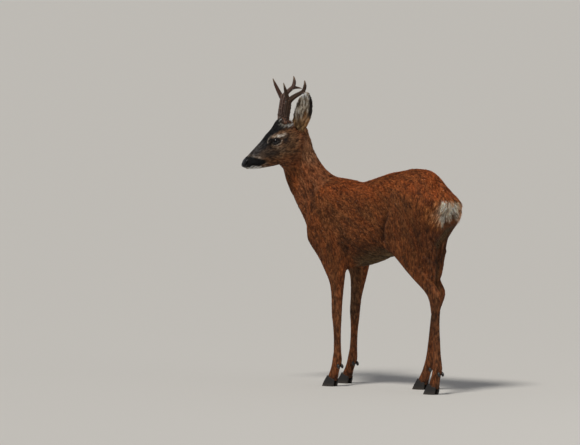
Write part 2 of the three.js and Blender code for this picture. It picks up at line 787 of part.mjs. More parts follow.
// One claw: its flat sole, and rings that narrow and lean back up to the coronet.
function hoofSolid(toe, out, hand) {
  const rings = HOOF_LEVELS.map(([rise, size, lean]) =>
    Array.from({ length: HOOF_SIDES }, (_, j) => {
      const angle = (2 * Math.PI * j) / HOOF_SIDES;
      const run = 0.5 - 0.5 * Math.cos(angle); // 0 at the toe, 1 at the heel
      const swell = Math.sin(Math.PI * run ** HOOF_FULLEST) ** HOOF_FULLEST;
      const half = 0.5 * HOOF.width * (0.1 + 0.9 * swell) * Math.sign(Math.sin(angle));
      const y = Math.abs(Math.sin(angle)) < 1e-6 ? 0 : half;
      const x = HOOF.length * (0.5 + (run - 0.5) * size + lean);
      const z = rise * lerp(HOOF.toeHeight, HOOF.heelHeight, run);
      const away = out + y * size * hand + HOOF.splay * (1 - run) * Math.sign(out);
      return point(toe.x + x, toe.y + away, z);
    }),
  );
  return solid(closedRings(rings, centreOf(rings[0]), centreOf(rings[rings.length - 1])));
}

const DEWCLAW_SECTION = 3; // sections up from the foot, where the dewclaws grow
const AXIS_LEAN = 26; // how far out the top of a leg's casting axis leans
const DEWCLAW = { length: 20, width: 9.5, thickness: 13, spread: 9, below: 7, lean: -28 };

// One dewclaw: a small horn knob behind the foot, on the inner or outer side of the leg.
function dewclawSolid(leg, sign) {
  const samples = leg.tube.samples;
  const back = samples[samples.length - 1 - DEWCLAW_SECTION * leg.tube.perSection];
  const { length, width, thickness, spread, below, lean } = DEWCLAW;
  const middle = back.centre
    .clone()
    .addScaledVector(back.up, -back.height)
    .add(point(0, sign * spread, -below));
  const knob = new THREE.SphereGeometry(0.5, 6, 4).scale(thickness, width, length);
  knob.rotateY(degrees(lean)).translate(...middle.toArray());
  return solid(knob);
}

for (const [name, leg] of Object.entries(LEGS)) {
  const lastSection = leg.rows.length - 1;
  const end = leg.tube.samples[leg.tube.samples.length - 1];
  const limit = (p) => Math.max(flesh(p), inLeg(leg, 2 * MARGIN)(p));
  const leanFrom = leg.fore ? 410 : 450; // the casting axis leans outwards above this height
  const axis = legTube(leg, (z) => AXIS_LEAN * clamp((z - leanFrom) / 100, 0, 1));
  const rings = { from: leg.fore ? 2 : 1.8, to: lastSection, rings: leg.fore ? 18 : 22, sides: 12 };
  const skin = (level) => solid(castSkin(axis, limit, { ...rings, level }));
  const toe = point(end.centre.x - HOOF_AHEAD, end.centre.y, 0);
  const sole = { normal: end.along.clone(), at: end.along.dot(end.centre) - TRIM };
  const shape = skin(0)
    .intersect(behind(leg.cuts[0], -CUT / 2))
    .intersect(behind(leg.cuts[1], -CUT / 2))
    .intersect(behind(sole, 0));
  add(`leg_${name}`, shape, COAT);
  const cutter = skin(CUT).intersect(behind(sole, CUT));
  for (const [claw, sign] of [["inner", -leg.hand], ["outer", leg.hand]]) {
    const hoof = hoofSolid(toe, sign * HOOF.spread, leg.hand);
    add(`hoof_${name}_${claw}`, hoof.subtract(cutter), HORN);
    add(`dewclaw_${name}_${claw}`, dewclawSolid(leg, sign).subtract(cutter), HORN);
  }
}

// ---------------------------------------------------------------- origin: on the floor, midway

const bounds = new THREE.Box3().setFromObject(model);
const middle = bounds.getCenter(point(0, 0, 0));
model.position.set(-middle.x, -middle.y, -bounds.min.z);

export default model;
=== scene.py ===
import math

import bmesh
import bpy
import numpy as np
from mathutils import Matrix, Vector
from mathutils.bvhtree import BVHTree


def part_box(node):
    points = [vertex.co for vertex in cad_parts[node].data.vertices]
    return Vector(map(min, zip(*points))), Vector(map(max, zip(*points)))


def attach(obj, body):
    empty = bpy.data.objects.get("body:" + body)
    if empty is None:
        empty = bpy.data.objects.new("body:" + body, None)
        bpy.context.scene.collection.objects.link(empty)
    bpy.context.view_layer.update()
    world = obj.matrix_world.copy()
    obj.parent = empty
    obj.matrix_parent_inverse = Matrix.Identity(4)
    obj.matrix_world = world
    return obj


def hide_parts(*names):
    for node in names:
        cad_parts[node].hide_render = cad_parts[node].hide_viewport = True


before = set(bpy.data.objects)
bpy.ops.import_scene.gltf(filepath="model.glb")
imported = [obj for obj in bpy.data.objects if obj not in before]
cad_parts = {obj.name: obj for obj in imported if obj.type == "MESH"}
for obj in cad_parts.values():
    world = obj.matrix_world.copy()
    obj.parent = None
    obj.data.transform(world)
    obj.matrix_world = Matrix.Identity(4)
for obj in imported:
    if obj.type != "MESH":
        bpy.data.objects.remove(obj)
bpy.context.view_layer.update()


# ---------------------------------------------------------------- hide
# The hide of a live roe buck: one unbroken skin over the muscles, from the nose to the coronets.
# It is the joined flesh of all the parts, with the fine forms of the face pressed into it, and it
# lies inside them by the depth of the coat.

FLESH = (
    "trunk", "neck", "head", "tail", "ear_left", "ear_right",
    "leg_fore_left", "leg_fore_right", "leg_hind_left", "leg_hind_right",
)
SWELL = 0.00035  # closes the thin cuts between the parts, in metres
GRAIN = 0.002  # size of the cells the joined flesh is recast in
HIDE_FACES = 128_000

# The head's own directions, and its place behind the eyes, in millimetres.
HEAD_YAW = math.radians(60)
HEAD_PITCH = math.radians(26.3)
FORWARD = np.array((
    -math.cos(HEAD_YAW) * math.cos(HEAD_PITCH),
    -math.sin(HEAD_YAW) * math.cos(HEAD_PITCH),
    -math.sin(HEAD_PITCH),
))
LEFT = np.array((math.sin(HEAD_YAW), -math.cos(HEAD_YAW), 0.0))
UP = np.cross(FORWARD, LEFT)
EYE_PLACE = (92.0, 18.0, 35.0)
EYE_RADIUS = 16.0
eye_middles = {
    side: 500.0 * sum(np.array(corner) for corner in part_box(f"eye_{side}")) for side in ("left", "right")
}
NAPE = (eye_middles["left"] + eye_middles["right"]) / 2 - EYE_PLACE[0] * FORWARD - EYE_PLACE[1] * UP
# The body's own place: x backwards from the middle, y to its right, z up from the floor.
BODY_MIDDLE = NAPE - np.array((-338.0, -50.0, 852.0))


def on_head(u, v, w=0.0):
    return (NAPE + u * FORWARD + v * UP + w * LEFT) / 1000


def head_places(places):
    off = places * 1000 - NAPE
    return off @ FORWARD, off @ UP, off @ LEFT


def body_places(places):
    off = places * 1000 - BODY_MIDDLE
    return off[:, 0], off[:, 1], off[:, 2]


def soft(value, low, high):
    t = np.clip((value - low) / (high - low), 0, 1)
    return t * t * (3 - 2 * t)


def unit(rows):
    return rows / np.maximum(np.linalg.norm(rows, axis=-1, keepdims=True), 1e-12)


def joined_copy(nodes, name, swell=0.0):
    """One object of merged copies of the given parts."""
    bpy.ops.object.select_all(action="DESELECT")
    for node in nodes:
        piece = bpy.data.objects.new(name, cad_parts[node].data.copy())
        bpy.context.scene.collection.objects.link(piece)
        shape = bmesh.new()
        shape.from_mesh(piece.data)
        bmesh.ops.remove_doubles(shape, verts=shape.verts, dist=2e-5)
        shape.normal_update()
        for corner in shape.verts:
            corner.co += corner.normal * swell
        shape.to_mesh(piece.data)
        shape.free()
        piece.data.materials.clear()
        piece.select_set(True)
        bpy.context.view_layer.objects.active = piece
    bpy.ops.object.join()
    piece = bpy.context.view_layer.objects.active
    piece.name = name
    return piece


def recast(piece, cell):
    modifier = piece.modifiers.new("recast", "REMESH")
    modifier.mode = "VOXEL"
    modifier.voxel_size = cell
    bpy.context.view_layer.objects.active = piece
    bpy.ops.object.modifier_apply(modifier=modifier.name)


def read(rows, key, width, kind=np.float32):
    flat = np.empty(len(rows) * width, kind)
    rows.foreach_get(key, flat)
    return flat.reshape(-1, width)


def corners_of(piece):
    return read(piece.data.vertices, "co", 3).astype(float)


def normals_of(piece):
    return read(piece.data.vertices, "normal", 3).astype(float)


def move_corners(piece, spots):
    piece.data.vertices.foreach_set("co", spots.astype(np.float32).ravel())
    piece.data.update()


def links_of(piece):
    """A piece's edges, and how many of them meet at each corner."""
    edges = read(piece.data.edges, "vertices", 2, np.int32)
    return edges, np.maximum(np.bincount(edges.ravel(), minlength=len(piece.data.vertices)), 1)


def shade_smoothly(piece):
    piece.data.polygons.foreach_set("use_smooth", np.ones(len(piece.data.polygons), bool))


def neighbours_mean(values, edges, degree):
    total = [
        np.bincount(edges[:, 0], values[edges[:, 1], c], len(values))
        + np.bincount(edges[:, 1], values[edges[:, 0], c], len(values))
        for c in range(values.shape[1])
    ]
    return np.stack(total, 1) / degree[:, None]


def smooth_out(piece, rounds, share=None):
    """Evens the skin without thinning it: each round draws it in and lets it out again."""
    places = corners_of(piece)
    edges, degree = links_of(piece)
    share = np.ones(len(places)) if share is None else share
    for _ in range(rounds):
        for step in (0.5, -0.52):
            places += step * share[:, None] * (neighbours_mean(places, edges, degree) - places)
    move_corners(piece, places)


def faces_split(piece, chosen):
    """Splits the chosen faces once, where the skin has to be finer."""
    shape = bmesh.new()
    shape.from_mesh(piece.data)
    shape.faces.ensure_lookup_table()
    edges = {edge for k in np.flatnonzero(chosen) for edge in shape.faces[k].edges}
    bmesh.ops.subdivide_edges(shape, edges=list(edges), cuts=1, use_grid_fill=True)
    bmesh.ops.triangulate(shape, faces=[face for face in shape.faces if len(face.verts) > 3])
    shape.to_mesh(piece.data)
    shape.free()


# The eyeballs fill their sockets here, so that the lids can be drawn over them.
hide = joined_copy((*FLESH, "eye_left", "eye_right"), "hide", SWELL)
recast(hide, GRAIN)
smooth_out(hide, 16)

# The body is thinned to wide faces, and the head and ears keep their fine ones.
HEAD_MIDDLE = 60  # millimetres ahead of the nape
HEAD_REACH = 240


def far_from_head():
    u, v, w = head_places(corners_of(hide))
    return np.sqrt((u - HEAD_MIDDLE) ** 2 + v**2 + w**2)


u, v, w = head_places(corners_of(hide))
plain = np.flatnonzero((far_from_head() > HEAD_REACH) | ((u < 6) & (v < 0)))
plain_group = hide.vertex_groups.new(name="plain")
plain_group.add([int(k) for k in plain], 1.0, "REPLACE")
thinner = hide.modifiers.new("thinner", "DECIMATE")
thinner.ratio = HIDE_FACES / (2 * len(hide.data.polygons))
thinner.vertex_group = plain_group.name
thinner.use_collapse_triangulate = True
bpy.ops.object.modifier_apply(modifier=thinner.name)
hide.vertex_groups.clear()
x, y, z = body_places(corners_of(hide))
smooth_out(hide, 34, soft(far_from_head(), 160, 280) * soft(z, 70, 260))
# The tail's short knob melts into the rump.
smooth_out(hide, 60, soft(x, 250, 273) * soft(56 - abs(y), 0, 18) * soft(z, 628, 656))

# Loose chips of the recast are dropped.
shape = bmesh.new()
shape.from_mesh(hide.data)
unseen = set(shape.verts)
bodies = []
while unseen:
    found = [unseen.pop()]
    for corner in found:
        for edge in corner.link_edges:
            other = edge.other_vert(corner)
            if other in unseen:
                unseen.remove(other)
                found.append(other)
    bodies.append(found)
bodies.sort(key=len)
bmesh.ops.delete(shape, geom=[corner for chip in bodies[:-1] for corner in chip], context="VERTS")
shape.to_mesh(hide.data)
shape.free()

# Round the eyes and on the muzzle the skin is twice as fine.
LIDS_OUT = 44  # the lids' distance from the head's middle plane
FINE_SKIN = 27  # reach of the finer skin round each eye


def squared_from_lids(u, v, w):
    return (u - EYE_PLACE[0]) ** 2 + (v - EYE_PLACE[1]) ** 2 + (abs(w) - LIDS_OUT) ** 2


u, v, w = head_places(read(hide.data.polygons, "center", 3).astype(float))
muzzle = (u > 168) & (v < 40) & (v > -70)
faces_split(hide, (squared_from_lids(u, v, w) < FINE_SKIN**2) | muzzle)
u, v, w = head_places(corners_of(hide))
fine = (soft(u, 150, 170) * (v < 45) * (v > -70)) + soft(32 - np.sqrt(squared_from_lids(u, v, w)), 0, 6)
smooth_out(hide, 6, np.clip(fine, 0, 1))

# Which part each place of the skin belongs to.
part_faces = []
part_corners = []
part_of_face = []
for number, node in enumerate(FLESH):
    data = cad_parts[node].data
    start = len(part_corners)
    part_corners += [corner.co.copy() for corner in data.vertices]
    part_faces += [tuple(start + k for k in face.vertices) for face in data.polygons]
    part_of_face += [number] * len(data.polygons)
parts_tree = BVHTree.FromPolygons(part_corners, part_faces)
places = corners_of(hide)
part = np.array([part_of_face[parts_tree.find_nearest(Vector(p))[2]] for p in places])
edges, degree = links_of(hide)


def is_part(*names):
    return np.isin(part, [FLESH.index(name) for name in names]).astype(float)


def spread(values, rounds):
    values = values.reshape(len(values), -1).astype(float)
    for _ in range(rounds):
        values = 0.5 * values + 0.5 * neighbours_mean(values, edges, degree)
    return values


on_ear = is_part("ear_left", "ear_right")
on_face = is_part("head")
on_leg = is_part("leg_fore_left", "leg_fore_right", "leg_hind_left", "leg_hind_right")

# The coat's depth, in millimetres: deep on the body, thin on the face, ears and feet.
u, v, w = head_places(places)
x, y, z = body_places(places)
depth = 3.4 + 2.2 * soft(x, 282, 322) * soft(z, 560, 600)
depth = np.where(on_leg > 0, 0.4 + 2.6 * soft(z, 60, 480), depth)
depth = np.where(on_face > 0, 2.2 - 1.4 * soft(u, 60, 170), depth)
depth = np.where(on_ear > 0, 0.35, depth)
depth = spread(depth, 14)[:, 0]
places -= unit(spread(normals_of(hide), 4)) * depth[:, None] / 1000

# Folds of loose skin, and the muscle edges beside them: a path in the body's own millimetres, its
# half width, and its depth, below 0 where it stands out.
FOLDS = (
    (((-272, -60, 690), (-258, -70, 660), (-238, -85, 630), (-216, -98, 592)), 7, 6.0),
    (((-256, -74, 694), (-240, -84, 662), (-220, -97, 630), (-200, -106, 592)), 12, -3.0),
    (((-262, 74, 668), (-256, 82, 640), (-248, 86, 604), (-240, 90, 566)), 9, 3.2),
    (((-100, -94, 552), (-94, -92, 522), (-86, -87, 490), (-74, -76, 458)), 8, 7.0),
    (((-118, -95, 552), (-111, -93, 522), (-103, -88, 490), (-92, -76, 458)), 12, -3.5),
    (((-100, 94, 552), (-94, 92, 522), (-86, 87, 490), (-74, 76, 458)), 8, 6.0),
    (((136, -97, 616), (115, -95, 586), (100, -93, 556), (94, -90, 526), (96, -78, 486)), 9, 8.0),
    (((154, -97, 620), (133, -97, 588), (118, -95, 556), (113, -92, 526), (115, -80, 486)), 13, -4.5),
    (((78, 97, 616), (57, 95, 586), (42, 93, 556), (36, 90, 526), (38, 78, 486)), 9, 8.0),
    (((96, 97, 620), (75, 97, 588), (60, 95, 556), (55, 92, 526), (57, 80, 486)), 13, -4.5),
    (((318, 20, 640), (318, 22, 620), (312, 18, 590), (300, 6, 556)), 6, 4.5),
    (((-300, -30, 600), (-296, -26, 560), (-288, -22, 528)), 8, 2.6),
)


def from_path(places, path, count=24):
    """Distance in millimetres from a smooth path, and how far along it the nearest place is."""
    path = np.array(path, float)
    steps = np.linspace(0, len(path) - 1, count)
    line = np.stack([np.interp(steps, range(len(path)), row) for row in path.T], 1)
    best = np.full(len(places), 1e9)
    along = np.zeros(len(places))
    for k, dot in enumerate(line):
        far = np.linalg.norm(places - dot, axis=1)
        nearer = far < best
        best[nearer] = far[nearer]
        along[nearer] = k / (count - 1)
    return best, along


body_mm = np.stack([x, y, z], 1)
move_corners(hide, places)
inwards = -unit(spread(normals_of(hide), 3))
painted_fold_shade = np.zeros(len(places))
for path, half_width, deep in FOLDS:
    away, along = from_path(body_mm, path, 40)
    ends = soft(along, 0, 0.25) * soft(1 - along, 0, 0.25)
    pressed = ends * np.exp(-((away / half_width) ** 2))
    places += inwards * (deep * pressed / 1000)[:, None]
    # Painted shade spreads a little wider than each fold, for the shade that falls in it.
    painted_fold_shade = np.maximum(painted_fold_shade, ends * np.exp(-((away / (1.5 * half_width)) ** 2)) * deep / 6)

# The lids close round the eyeball, and the skin inside their opening sinks behind it. The opening
# is an almond: half length, half height above and below the line through its corners.
OPENING = (13.6, 6.8, 8.0)
CORNERS_ABOVE = 2.0  # the corners' line, above the ball's middle
LID = 1.5  # thickness of a lid
SUNK = 4.0  # depth of the hidden skin behind the ball's surface
EYE_TURN = math.radians(20)  # the front corner sits higher than the face's own line


def eye_frame(hand):
    """The eye's middle, and its directions to the front corner, to the upper lid and outwards."""
    middle = NAPE + EYE_PLACE[0] * FORWARD + EYE_PLACE[1] * UP + hand * EYE_PLACE[2] * LEFT
    out = unit(0.3 * FORWARD + 0.2 * UP + hand * 0.93 * LEFT)
    front = unit(FORWARD * math.cos(EYE_TURN) + UP * math.sin(EYE_TURN))
    front = unit(front - out * (front @ out))
    over = np.cross(front, out) * hand
    return middle, front, over * np.sign(over @ UP), out


def almond(a):
    """Heights of the opening's upper and lower edge at a distance along it."""
    share = np.clip(1 - (a / OPENING[0]) ** 2, 0, 1)
    return OPENING[1] * share**0.8, OPENING[2] * share**0.9


on_lids = np.zeros(len(places))
in_opening = np.zeros(len(places))
for hand in (1, -1):
    middle, front, over, out = eye_frame(hand)
    off = places * 1000 - middle
    a, b, c = off @ front, off @ over, off @ out
    radius = np.linalg.norm(off, axis=1)
    b = b - CORNERS_ABOVE
    high, low = almond(a)
    # Rough distance outside the almond, below 0 inside it.
    outside = np.maximum(np.where(b > 0, b - high, -b - low), (abs(a) - OPENING[0]) * 1.2)
    facing = (c > -4) & (radius < 44)
    lid = facing * (1 - soft(outside, 2.0, 10.0))
    target = np.where(outside < 0, EYE_RADIUS - SUNK, EYE_RADIUS + LID)
    # A shallow furrow runs above the upper lid.
    furrow = 1.3 * np.exp(-(((outside - 6.5) / 1.6) ** 2)) * (b > 0)
    moved = radius + lid * (target - radius) - furrow * facing
    places += (unit(off) * (moved - radius)[:, None]) / 1000
    on_lids = np.maximum(on_lids, facing * (1 - soft(outside, 0.4, 1.6)))
    in_opening = np.maximum(in_opening, facing * (outside < 0.6))

# Slit before each eye, nostrils, mouth and the groove of the upper lip, pressed into the face. Each
# is a path in head places with w counted outwards, its half width and its depth.
PRESSED = {
    "slit": (((109, 24, 42), (113, 20, 40), (118, 14, 38), (121, 9, 37)), 1.9, 3.2),
    "nostril": (((222, -7, 10), (219, -5, 16), (214, -2, 21.5), (208, 1, 24.5)), 2.6, 6.5),
    "mouth": (((221, -17, 0), (216, -20, 9), (205, -23, 19), (190, -27, 24), (170, -30, 26)), 1.5, 2.8),
    "lip": (((223, -6, 0), (222, -11, 0), (220, -18, 0)), 1.2, 1.6),
}
move_corners(hide, places)
inwards = -unit(spread(normals_of(hide), 2))
u, v, w = head_places(places)
head_mm = np.stack([u, v, abs(w)], 1)
pressed_at = {}
for name, (path, half_width, deep) in PRESSED.items():
    # Depth into the head counts little, as the path may lie just under the skin.
    ease = np.array((1.0, 1.0, 0.35)) if name != "lip" else np.array((0.35, 1.0, 1.0))
    away, along = from_path(head_mm * ease, np.array(path) * ease, 40)
    pressed_at[name] = np.exp(-((away / half_width) ** 2)) * (on_face > 0)
    places += inwards * (deep * pressed_at[name] / 1000)[:, None]

move_corners(hide, places)

# The lids' bare rims: one thin roll of dark skin round each opening, part of the hide.
RIM = 1.05  # half the roll's thickness
AROUND = 44  # sides round the opening
ROLL = 8  # sides round the roll
rim_places = []
rim_faces = []
for hand in (1, -1):
    middle, front, over, out = eye_frame(hand)
    turn = np.linspace(0, 2 * math.pi, AROUND, endpoint=False)
    a = OPENING[0] * np.cos(turn)
    high, low = almond(a)
    b = np.where(np.sin(turn) > 0, high, -low) + CORNERS_ABOVE
    line = a[:, None] * front + b[:, None] * over
    lift = np.sqrt(np.maximum((EYE_RADIUS + 0.5) ** 2 - (line**2).sum(1), 9))
    line = line + lift[:, None] * out
    run = unit(np.roll(line, -1, 0) - np.roll(line, 1, 0))
    outer = unit(line)
    beside = np.cross(run, outer)
    start = len(rim_places)
    for k in range(AROUND):
        for j in range(ROLL):
            angle = 2 * math.pi * j / ROLL
            rim_places.append((middle + line[k] + RIM * (
                math.cos(angle) * beside[k] + math.sin(angle) * outer[k])) / 1000)
    for k in range(AROUND):
        for j in range(ROLL):
            near, far = k * ROLL, (k + 1) % AROUND * ROLL
            rim_faces.append(tuple(start + n for n in (
                near + j, near + (j + 1) % ROLL, far + (j + 1) % ROLL, far + j)))
rims = bpy.data.meshes.new("rims")
rims.from_pydata([tuple(p) for p in rim_places], [], rim_faces)
shape = bmesh.new()
shape.from_mesh(hide.data)
bare_count = len(shape.verts)
shape.from_mesh(rims)
bmesh.ops.recalc_face_normals(shape, faces=list(shape.faces)[-len(rim_faces):])
bmesh.ops.triangulate(shape, faces=[face for face in shape.faces if len(face.verts) > 3])
shape.to_mesh(hide.data)
shape.free()
shade_smoothly(hide)


def padded(values, fill=0.0):
    """A value for each place of the hide, with the rims' places after those of the skin."""
    more = np.full((len(hide.data.vertices) - bare_count,) + values.shape[1:], fill)
    return np.concatenate([values, more])


part = padded(part, FLESH.index("head")).astype(int)
on_ear, on_face, on_leg = padded(on_ear), padded(on_face, 1.0), padded(on_leg)
painted_fold_shade = padded(painted_fold_shade)
on_lids, in_opening = padded(on_lids, 1.0), padded(in_opening)
pressed_at = {name: padded(values) for name, values in pressed_at.items()}
places = corners_of(hide)
edges, degree = links_of(hide)
calm_normals = unit(spread(normals_of(hide), 8))

# The unwrap that the skin and the coat's roots share.
hide.data.uv_layers.new(name="OFBake")
bpy.ops.object.select_all(action="DESELECT")
hide.select_set(True)
bpy.context.view_layer.objects.active = hide
bpy.ops.object.mode_set(mode="EDIT")
bpy.ops.mesh.select_all(action="SELECT")
bpy.ops.uv.smart_project(angle_limit=1.15, island_margin=0.004, scale_to_bounds=True)
bpy.ops.object.mode_set(mode="OBJECT")
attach(hide, "root")
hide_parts(*FLESH)

# ---------------------------------------------------------------- lie of the coat
# A roe's hair lies from the nose backwards, down the neck and legs, and back along the ribs. Loose
# locks follow it, so streaks of lighter and darker hair run the same way.

# Where the hair lies which way on the body: x, y outwards, z, then the direction it points.
LIE = (
    ((-285, 20, 560), (0.3, 0.0, -1.0)), ((-250, 70, 520), (0.35, 0.0, -1.0)),
    ((-200, 85, 610), (0.6, 0.0, -0.8)), ((-150, 60, 690), (0.9, 0.1, -0.4)),
    ((-150, 0, 702), (1.0, 0.0, 0.0)), ((-60, 90, 600), (0.85, 0.0, -0.5)),
    ((-80, 80, 480), (0.7, 0.0, -0.7)), ((-60, 0, 408), (1.0, 0.0, 0.0)),
    ((60, 85, 620), (0.9, 0.0, -0.45)), ((60, 0, 741), (1.0, 0.0, 0.0)),
    ((60, 60, 470), (0.9, 0.0, -0.4)), ((60, 0, 445), (1.0, 0.0, 0.0)),
    ((120, 70, 700), (0.9, 0.0, -0.4)), ((170, 0, 759), (1.0, 0.0, 0.0)),
    ((180, 90, 640), (0.7, 0.0, -0.7)), ((240, 50, 730), (0.8, 0.1, -0.6)),
    ((200, 90, 540), (0.4, 0.0, -1.0)), ((290, 60, 680), (0.5, 0.3, -1.0)),
    ((300, 60, 560), (0.1, 0.0, -1.0)), ((318, 15, 630), (0.1, 0.9, -0.7)),
    ((305, 60, 610), (0.1, 0.9, -0.8)),
    ((110, 60, 520), (0.4, 0.0, -1.0)), ((335, 4, 670), (0.5, 0.05, -1.0)),
    ((-271, 0, 628), (0.7, 0.1, -0.75)), ((-321, -14, 683), (0.5, 0.15, -0.85)),
    ((-354, -43, 792), (0.1, 0.2, -1.0)), ((-350, -54, 840), (0.2, 0.3, -1.0)),
)
x, y, z = body_places(places)
lie = np.zeros((len(places), 3))
total = np.zeros(len(places))
for (ax, ay, az), way in LIE:
    for hand in (1, -1) if ay > 0 else (1,):
        off = np.stack([x - ax, y - ay * hand, z - az], 1)
        pull = 1 / ((off**2).sum(1) + 400) ** 2
        lie += pull[:, None] * np.array((way[0], way[1] * hand, way[2]))
        total += pull
lie /= total[:, None]
downwards = soft(560 - z, 0, 90) * (on_leg > 0)
lie = lie * (1 - downwards[:, None]) + downwards[:, None] * np.array((0.06, 0.0, -1.0))

u, v, w = head_places(places)
side_of = np.sign(w)
# On the face the hair runs back from the nose, parting over the bridge and round the eyes.
face_lie = (
    -FORWARD
    - UP * (0.35 * soft(-v, -10, 40))[:, None]
    + UP * (0.35 * soft(v, 35, 60) * soft(u, 20, 60))[:, None]
    + LEFT * (side_of * 0.25 * soft(u, 60, 120))[:, None]
)
face_share = spread(on_face, 14) * (soft(u, -40, 20) * soft(v, -112, -66))[:, None]
lie = lie * (1 - face_share) + face_lie * face_share

# Each ear: where it grows from, its tip, and the way its cup opens, in head places.
EARS = {
    "left": ((9, 15, 38), (-71, 124, 74), (0.5, 0.05, 0.86)),
    "right": ((0, 12, -36), (-100, 72, -92), (0.1, 0.1, -0.99)),
}
ear_rise = np.zeros(len(places))  # 0 at the root and 1 at the tip
ear_across = np.zeros(len(places))  # millimetres from the ear's middle, forwards
ear_inside = np.zeros(len(places))
for side, (root, tip, opens) in EARS.items():
    here = part == FLESH.index(f"ear_{side}")
    base, end = on_head(*root) * 1000, on_head(*tip) * 1000
    run = end - base
    opening = opens[0] * FORWARD + opens[1] * UP + opens[2] * LEFT
    opening = unit(opening - run * (opening @ run) / (run @ run))
    across = np.cross(unit(run), opening)
    across = across * np.sign(across @ FORWARD)
    off = places * 1000 - base
    ear_rise = np.where(here, off @ run / (run @ run), ear_rise)
    ear_across = np.where(here, off @ across, ear_across)
    ear_inside = np.where(here, (calm_normals @ opening > 0.12).astype(float), ear_inside)
    fan = unit(run) + 0.012 * np.clip(off @ across, -22, 22)[:, None] * across
    lie = np.where(here[:, None], fan, lie)

lie = spread(lie, 6)
lie = unit(lie - calm_normals * (lie * calm_normals).sum(1, keepdims=True))

rng = np.random.default_rng(11)


def cloud(spots, cell, seed):
    """Smooth noise from 0 to 1 with blobs of one cell's size, in millimetres."""
    grid = spots / cell
    low = np.floor(grid).astype(np.int64)
    share = grid - low
    share = share * share * (3 - 2 * share)
    total = np.zeros(len(spots))
    for corner in range(8):
        step = np.array((corner & 1, corner >> 1 & 1, corner >> 2 & 1))
        at = low + step
        key = at[:, 0] * 73856093 ^ at[:, 1] * 19349663 ^ at[:, 2] * 83492791 ^ seed * 2654435
        key = (key ^ key >> 13) * 1274126177 & 0xFFFFFFFF
        key = (key ^ key >> 15) * 668265263 & 0xFFFFFFFF
        value = ((key ^ key >> 16) & 0xFFFF) / 65535
        total += value * np.prod(np.where(step, share, 1 - share), axis=1)
    return total


def streaks(spots, way, cell, reach, seed):
    """Noise drawn out along the lie of the hair, about -2 to 2: cell wide and reach long, in millimetres."""
    total = sum(cloud(spots * 1000 + way * far, cell, seed) for far in np.linspace(-reach / 2, reach / 2, 9))
    return np.clip((total - total.mean()) / total.std(), -2.2, 2.2)


fine_streaks = streaks(places, lie, 4.0, 13, 1)
broad_streaks = streaks(places, lie, 13, 60, 2)

# ---------------------------------------------------------------- markings
# Foxy red summer hair with a dark face, a pale ring round the eye, a white chin, pale belly and
# inner legs, and a buff and white rump patch. Skin and coat read the same colours.


def linear(code):
    """A hex sRGB colour as linear red, green and blue."""
    parts = [int(code[k:k + 2], 16) / 255 for k in (1, 3, 5)]
    return np.array([c / 12.92 if c <= 0.04045 else ((c + 0.055) / 1.055) ** 2.4 for c in parts])


RED_BACK_AND_PAINTED_LIGHT = "#985025"
RED_SIDE = "#7f4824"
NECK_BROWN = "#8c5432"
NAPE_PAINTED_LIGHT = "#a67a58"
PAINTED_SHADE_BROWN = "#5a3219"
PAINTED_FOLD_SHADE = "#3d2211"
BELLY_BUFF = "#6b5337"
GROIN_PALE_IN_PAINTED_SHADE = "#614a31"
LEG_BROWN = "#7a4a2c"
SHIN_DARK = "#4c2f1d"
CHEEK = "#785538"
FACE_GREY = "#3a322c"
FOREHEAD = "#1c1919"
BRIDGE = "#474546"
EYE_RING = "#c2ae9a"
MUZZLE_BLACK = "#121112"
NOSE_SKIN = "#1b1b1e"
NOSE_TOP = "#8f8a86"
UNDER_EYE = "#86725e"
WHITE = "#dcd6cb"
JAW = "#6b4126"
RUMP_WHITE = "#fae6cc"
RUMP_BUFF = "#b0713f"
EAR_BACK = "#5d4632"
EAR_RIM = "#1f1713"
EAR_HAIR = "#d9d0bf"
EAR_TIP_WITH_PAINTED_LIGHT = "#f5f2ea"
EAR_SKIN = "#7d644c"
EAR_BASE = "#8f6a42"
LID_SKIN = "#0d0a09"

colours = np.tile(linear(RED_SIDE), (len(places), 1))


def covered(paint, share, code):
    """Paint with a share of it, from 0 to 1, covered by another colour."""
    share = np.clip(share, 0, 1)[:, None]
    return paint * (1 - share) + linear(code) * share


def tint(share, code):
    global colours
    colours = covered(colours, share, code)


def keep_paint(piece, layer, paint):
    """Keeps a colour for each corner of a piece, as an attribute its material reads."""
    paint = np.concatenate([paint, np.ones((len(paint), 1))], 1)
    piece.data.color_attributes.new(layer, "FLOAT_COLOR", "POINT").data.foreach_set(
        "color", paint.astype(np.float32).ravel())


facing_up = calm_normals[:, 2]
on_neck = spread(is_part("neck"), 10)[:, 0]
on_trunk = spread(is_part("trunk"), 6)[:, 0]
# Redder hair along the back, laid where the coat faces upwards: partly the back's own colour, partly painted
# light from above.
tint(soft(facing_up, 0.1, 0.8) * soft(z, 560, 680), RED_BACK_AND_PAINTED_LIGHT)
tint(on_neck * 0.8, NECK_BROWN)
# Painted light: the upper neck behind the jaw is painted paler, for light falling on it.
tint(on_neck * soft(z, 730, 800) * 0.75, NAPE_PAINTED_LIGHT)
# Painted shade low on the trunk, where its sides turn downwards.
tint(on_trunk * soft(560 - z, 0, 110) * soft(-facing_up, -0.35, 0.5) * 0.8, PAINTED_SHADE_BROWN)
tint(on_trunk * soft(-facing_up, 0.3, 0.85) * soft(520 - z, 0, 60) * soft(x, -150, -60), BELLY_BUFF)
tint((on_leg > 0) * soft(430 - z, 0, 160) * 0.8, LEG_BROWN)
inner = soft(-calm_normals[:, 1] * np.sign(y), 0.2, 0.8)
# Paler hair inside the legs, painted darker than it is as painted shade between the legs.
tint((on_leg > 0) * inner * soft(z, 180, 330) * soft(490 - z, 0, 60) * 0.55, GROIN_PALE_IN_PAINTED_SHADE)
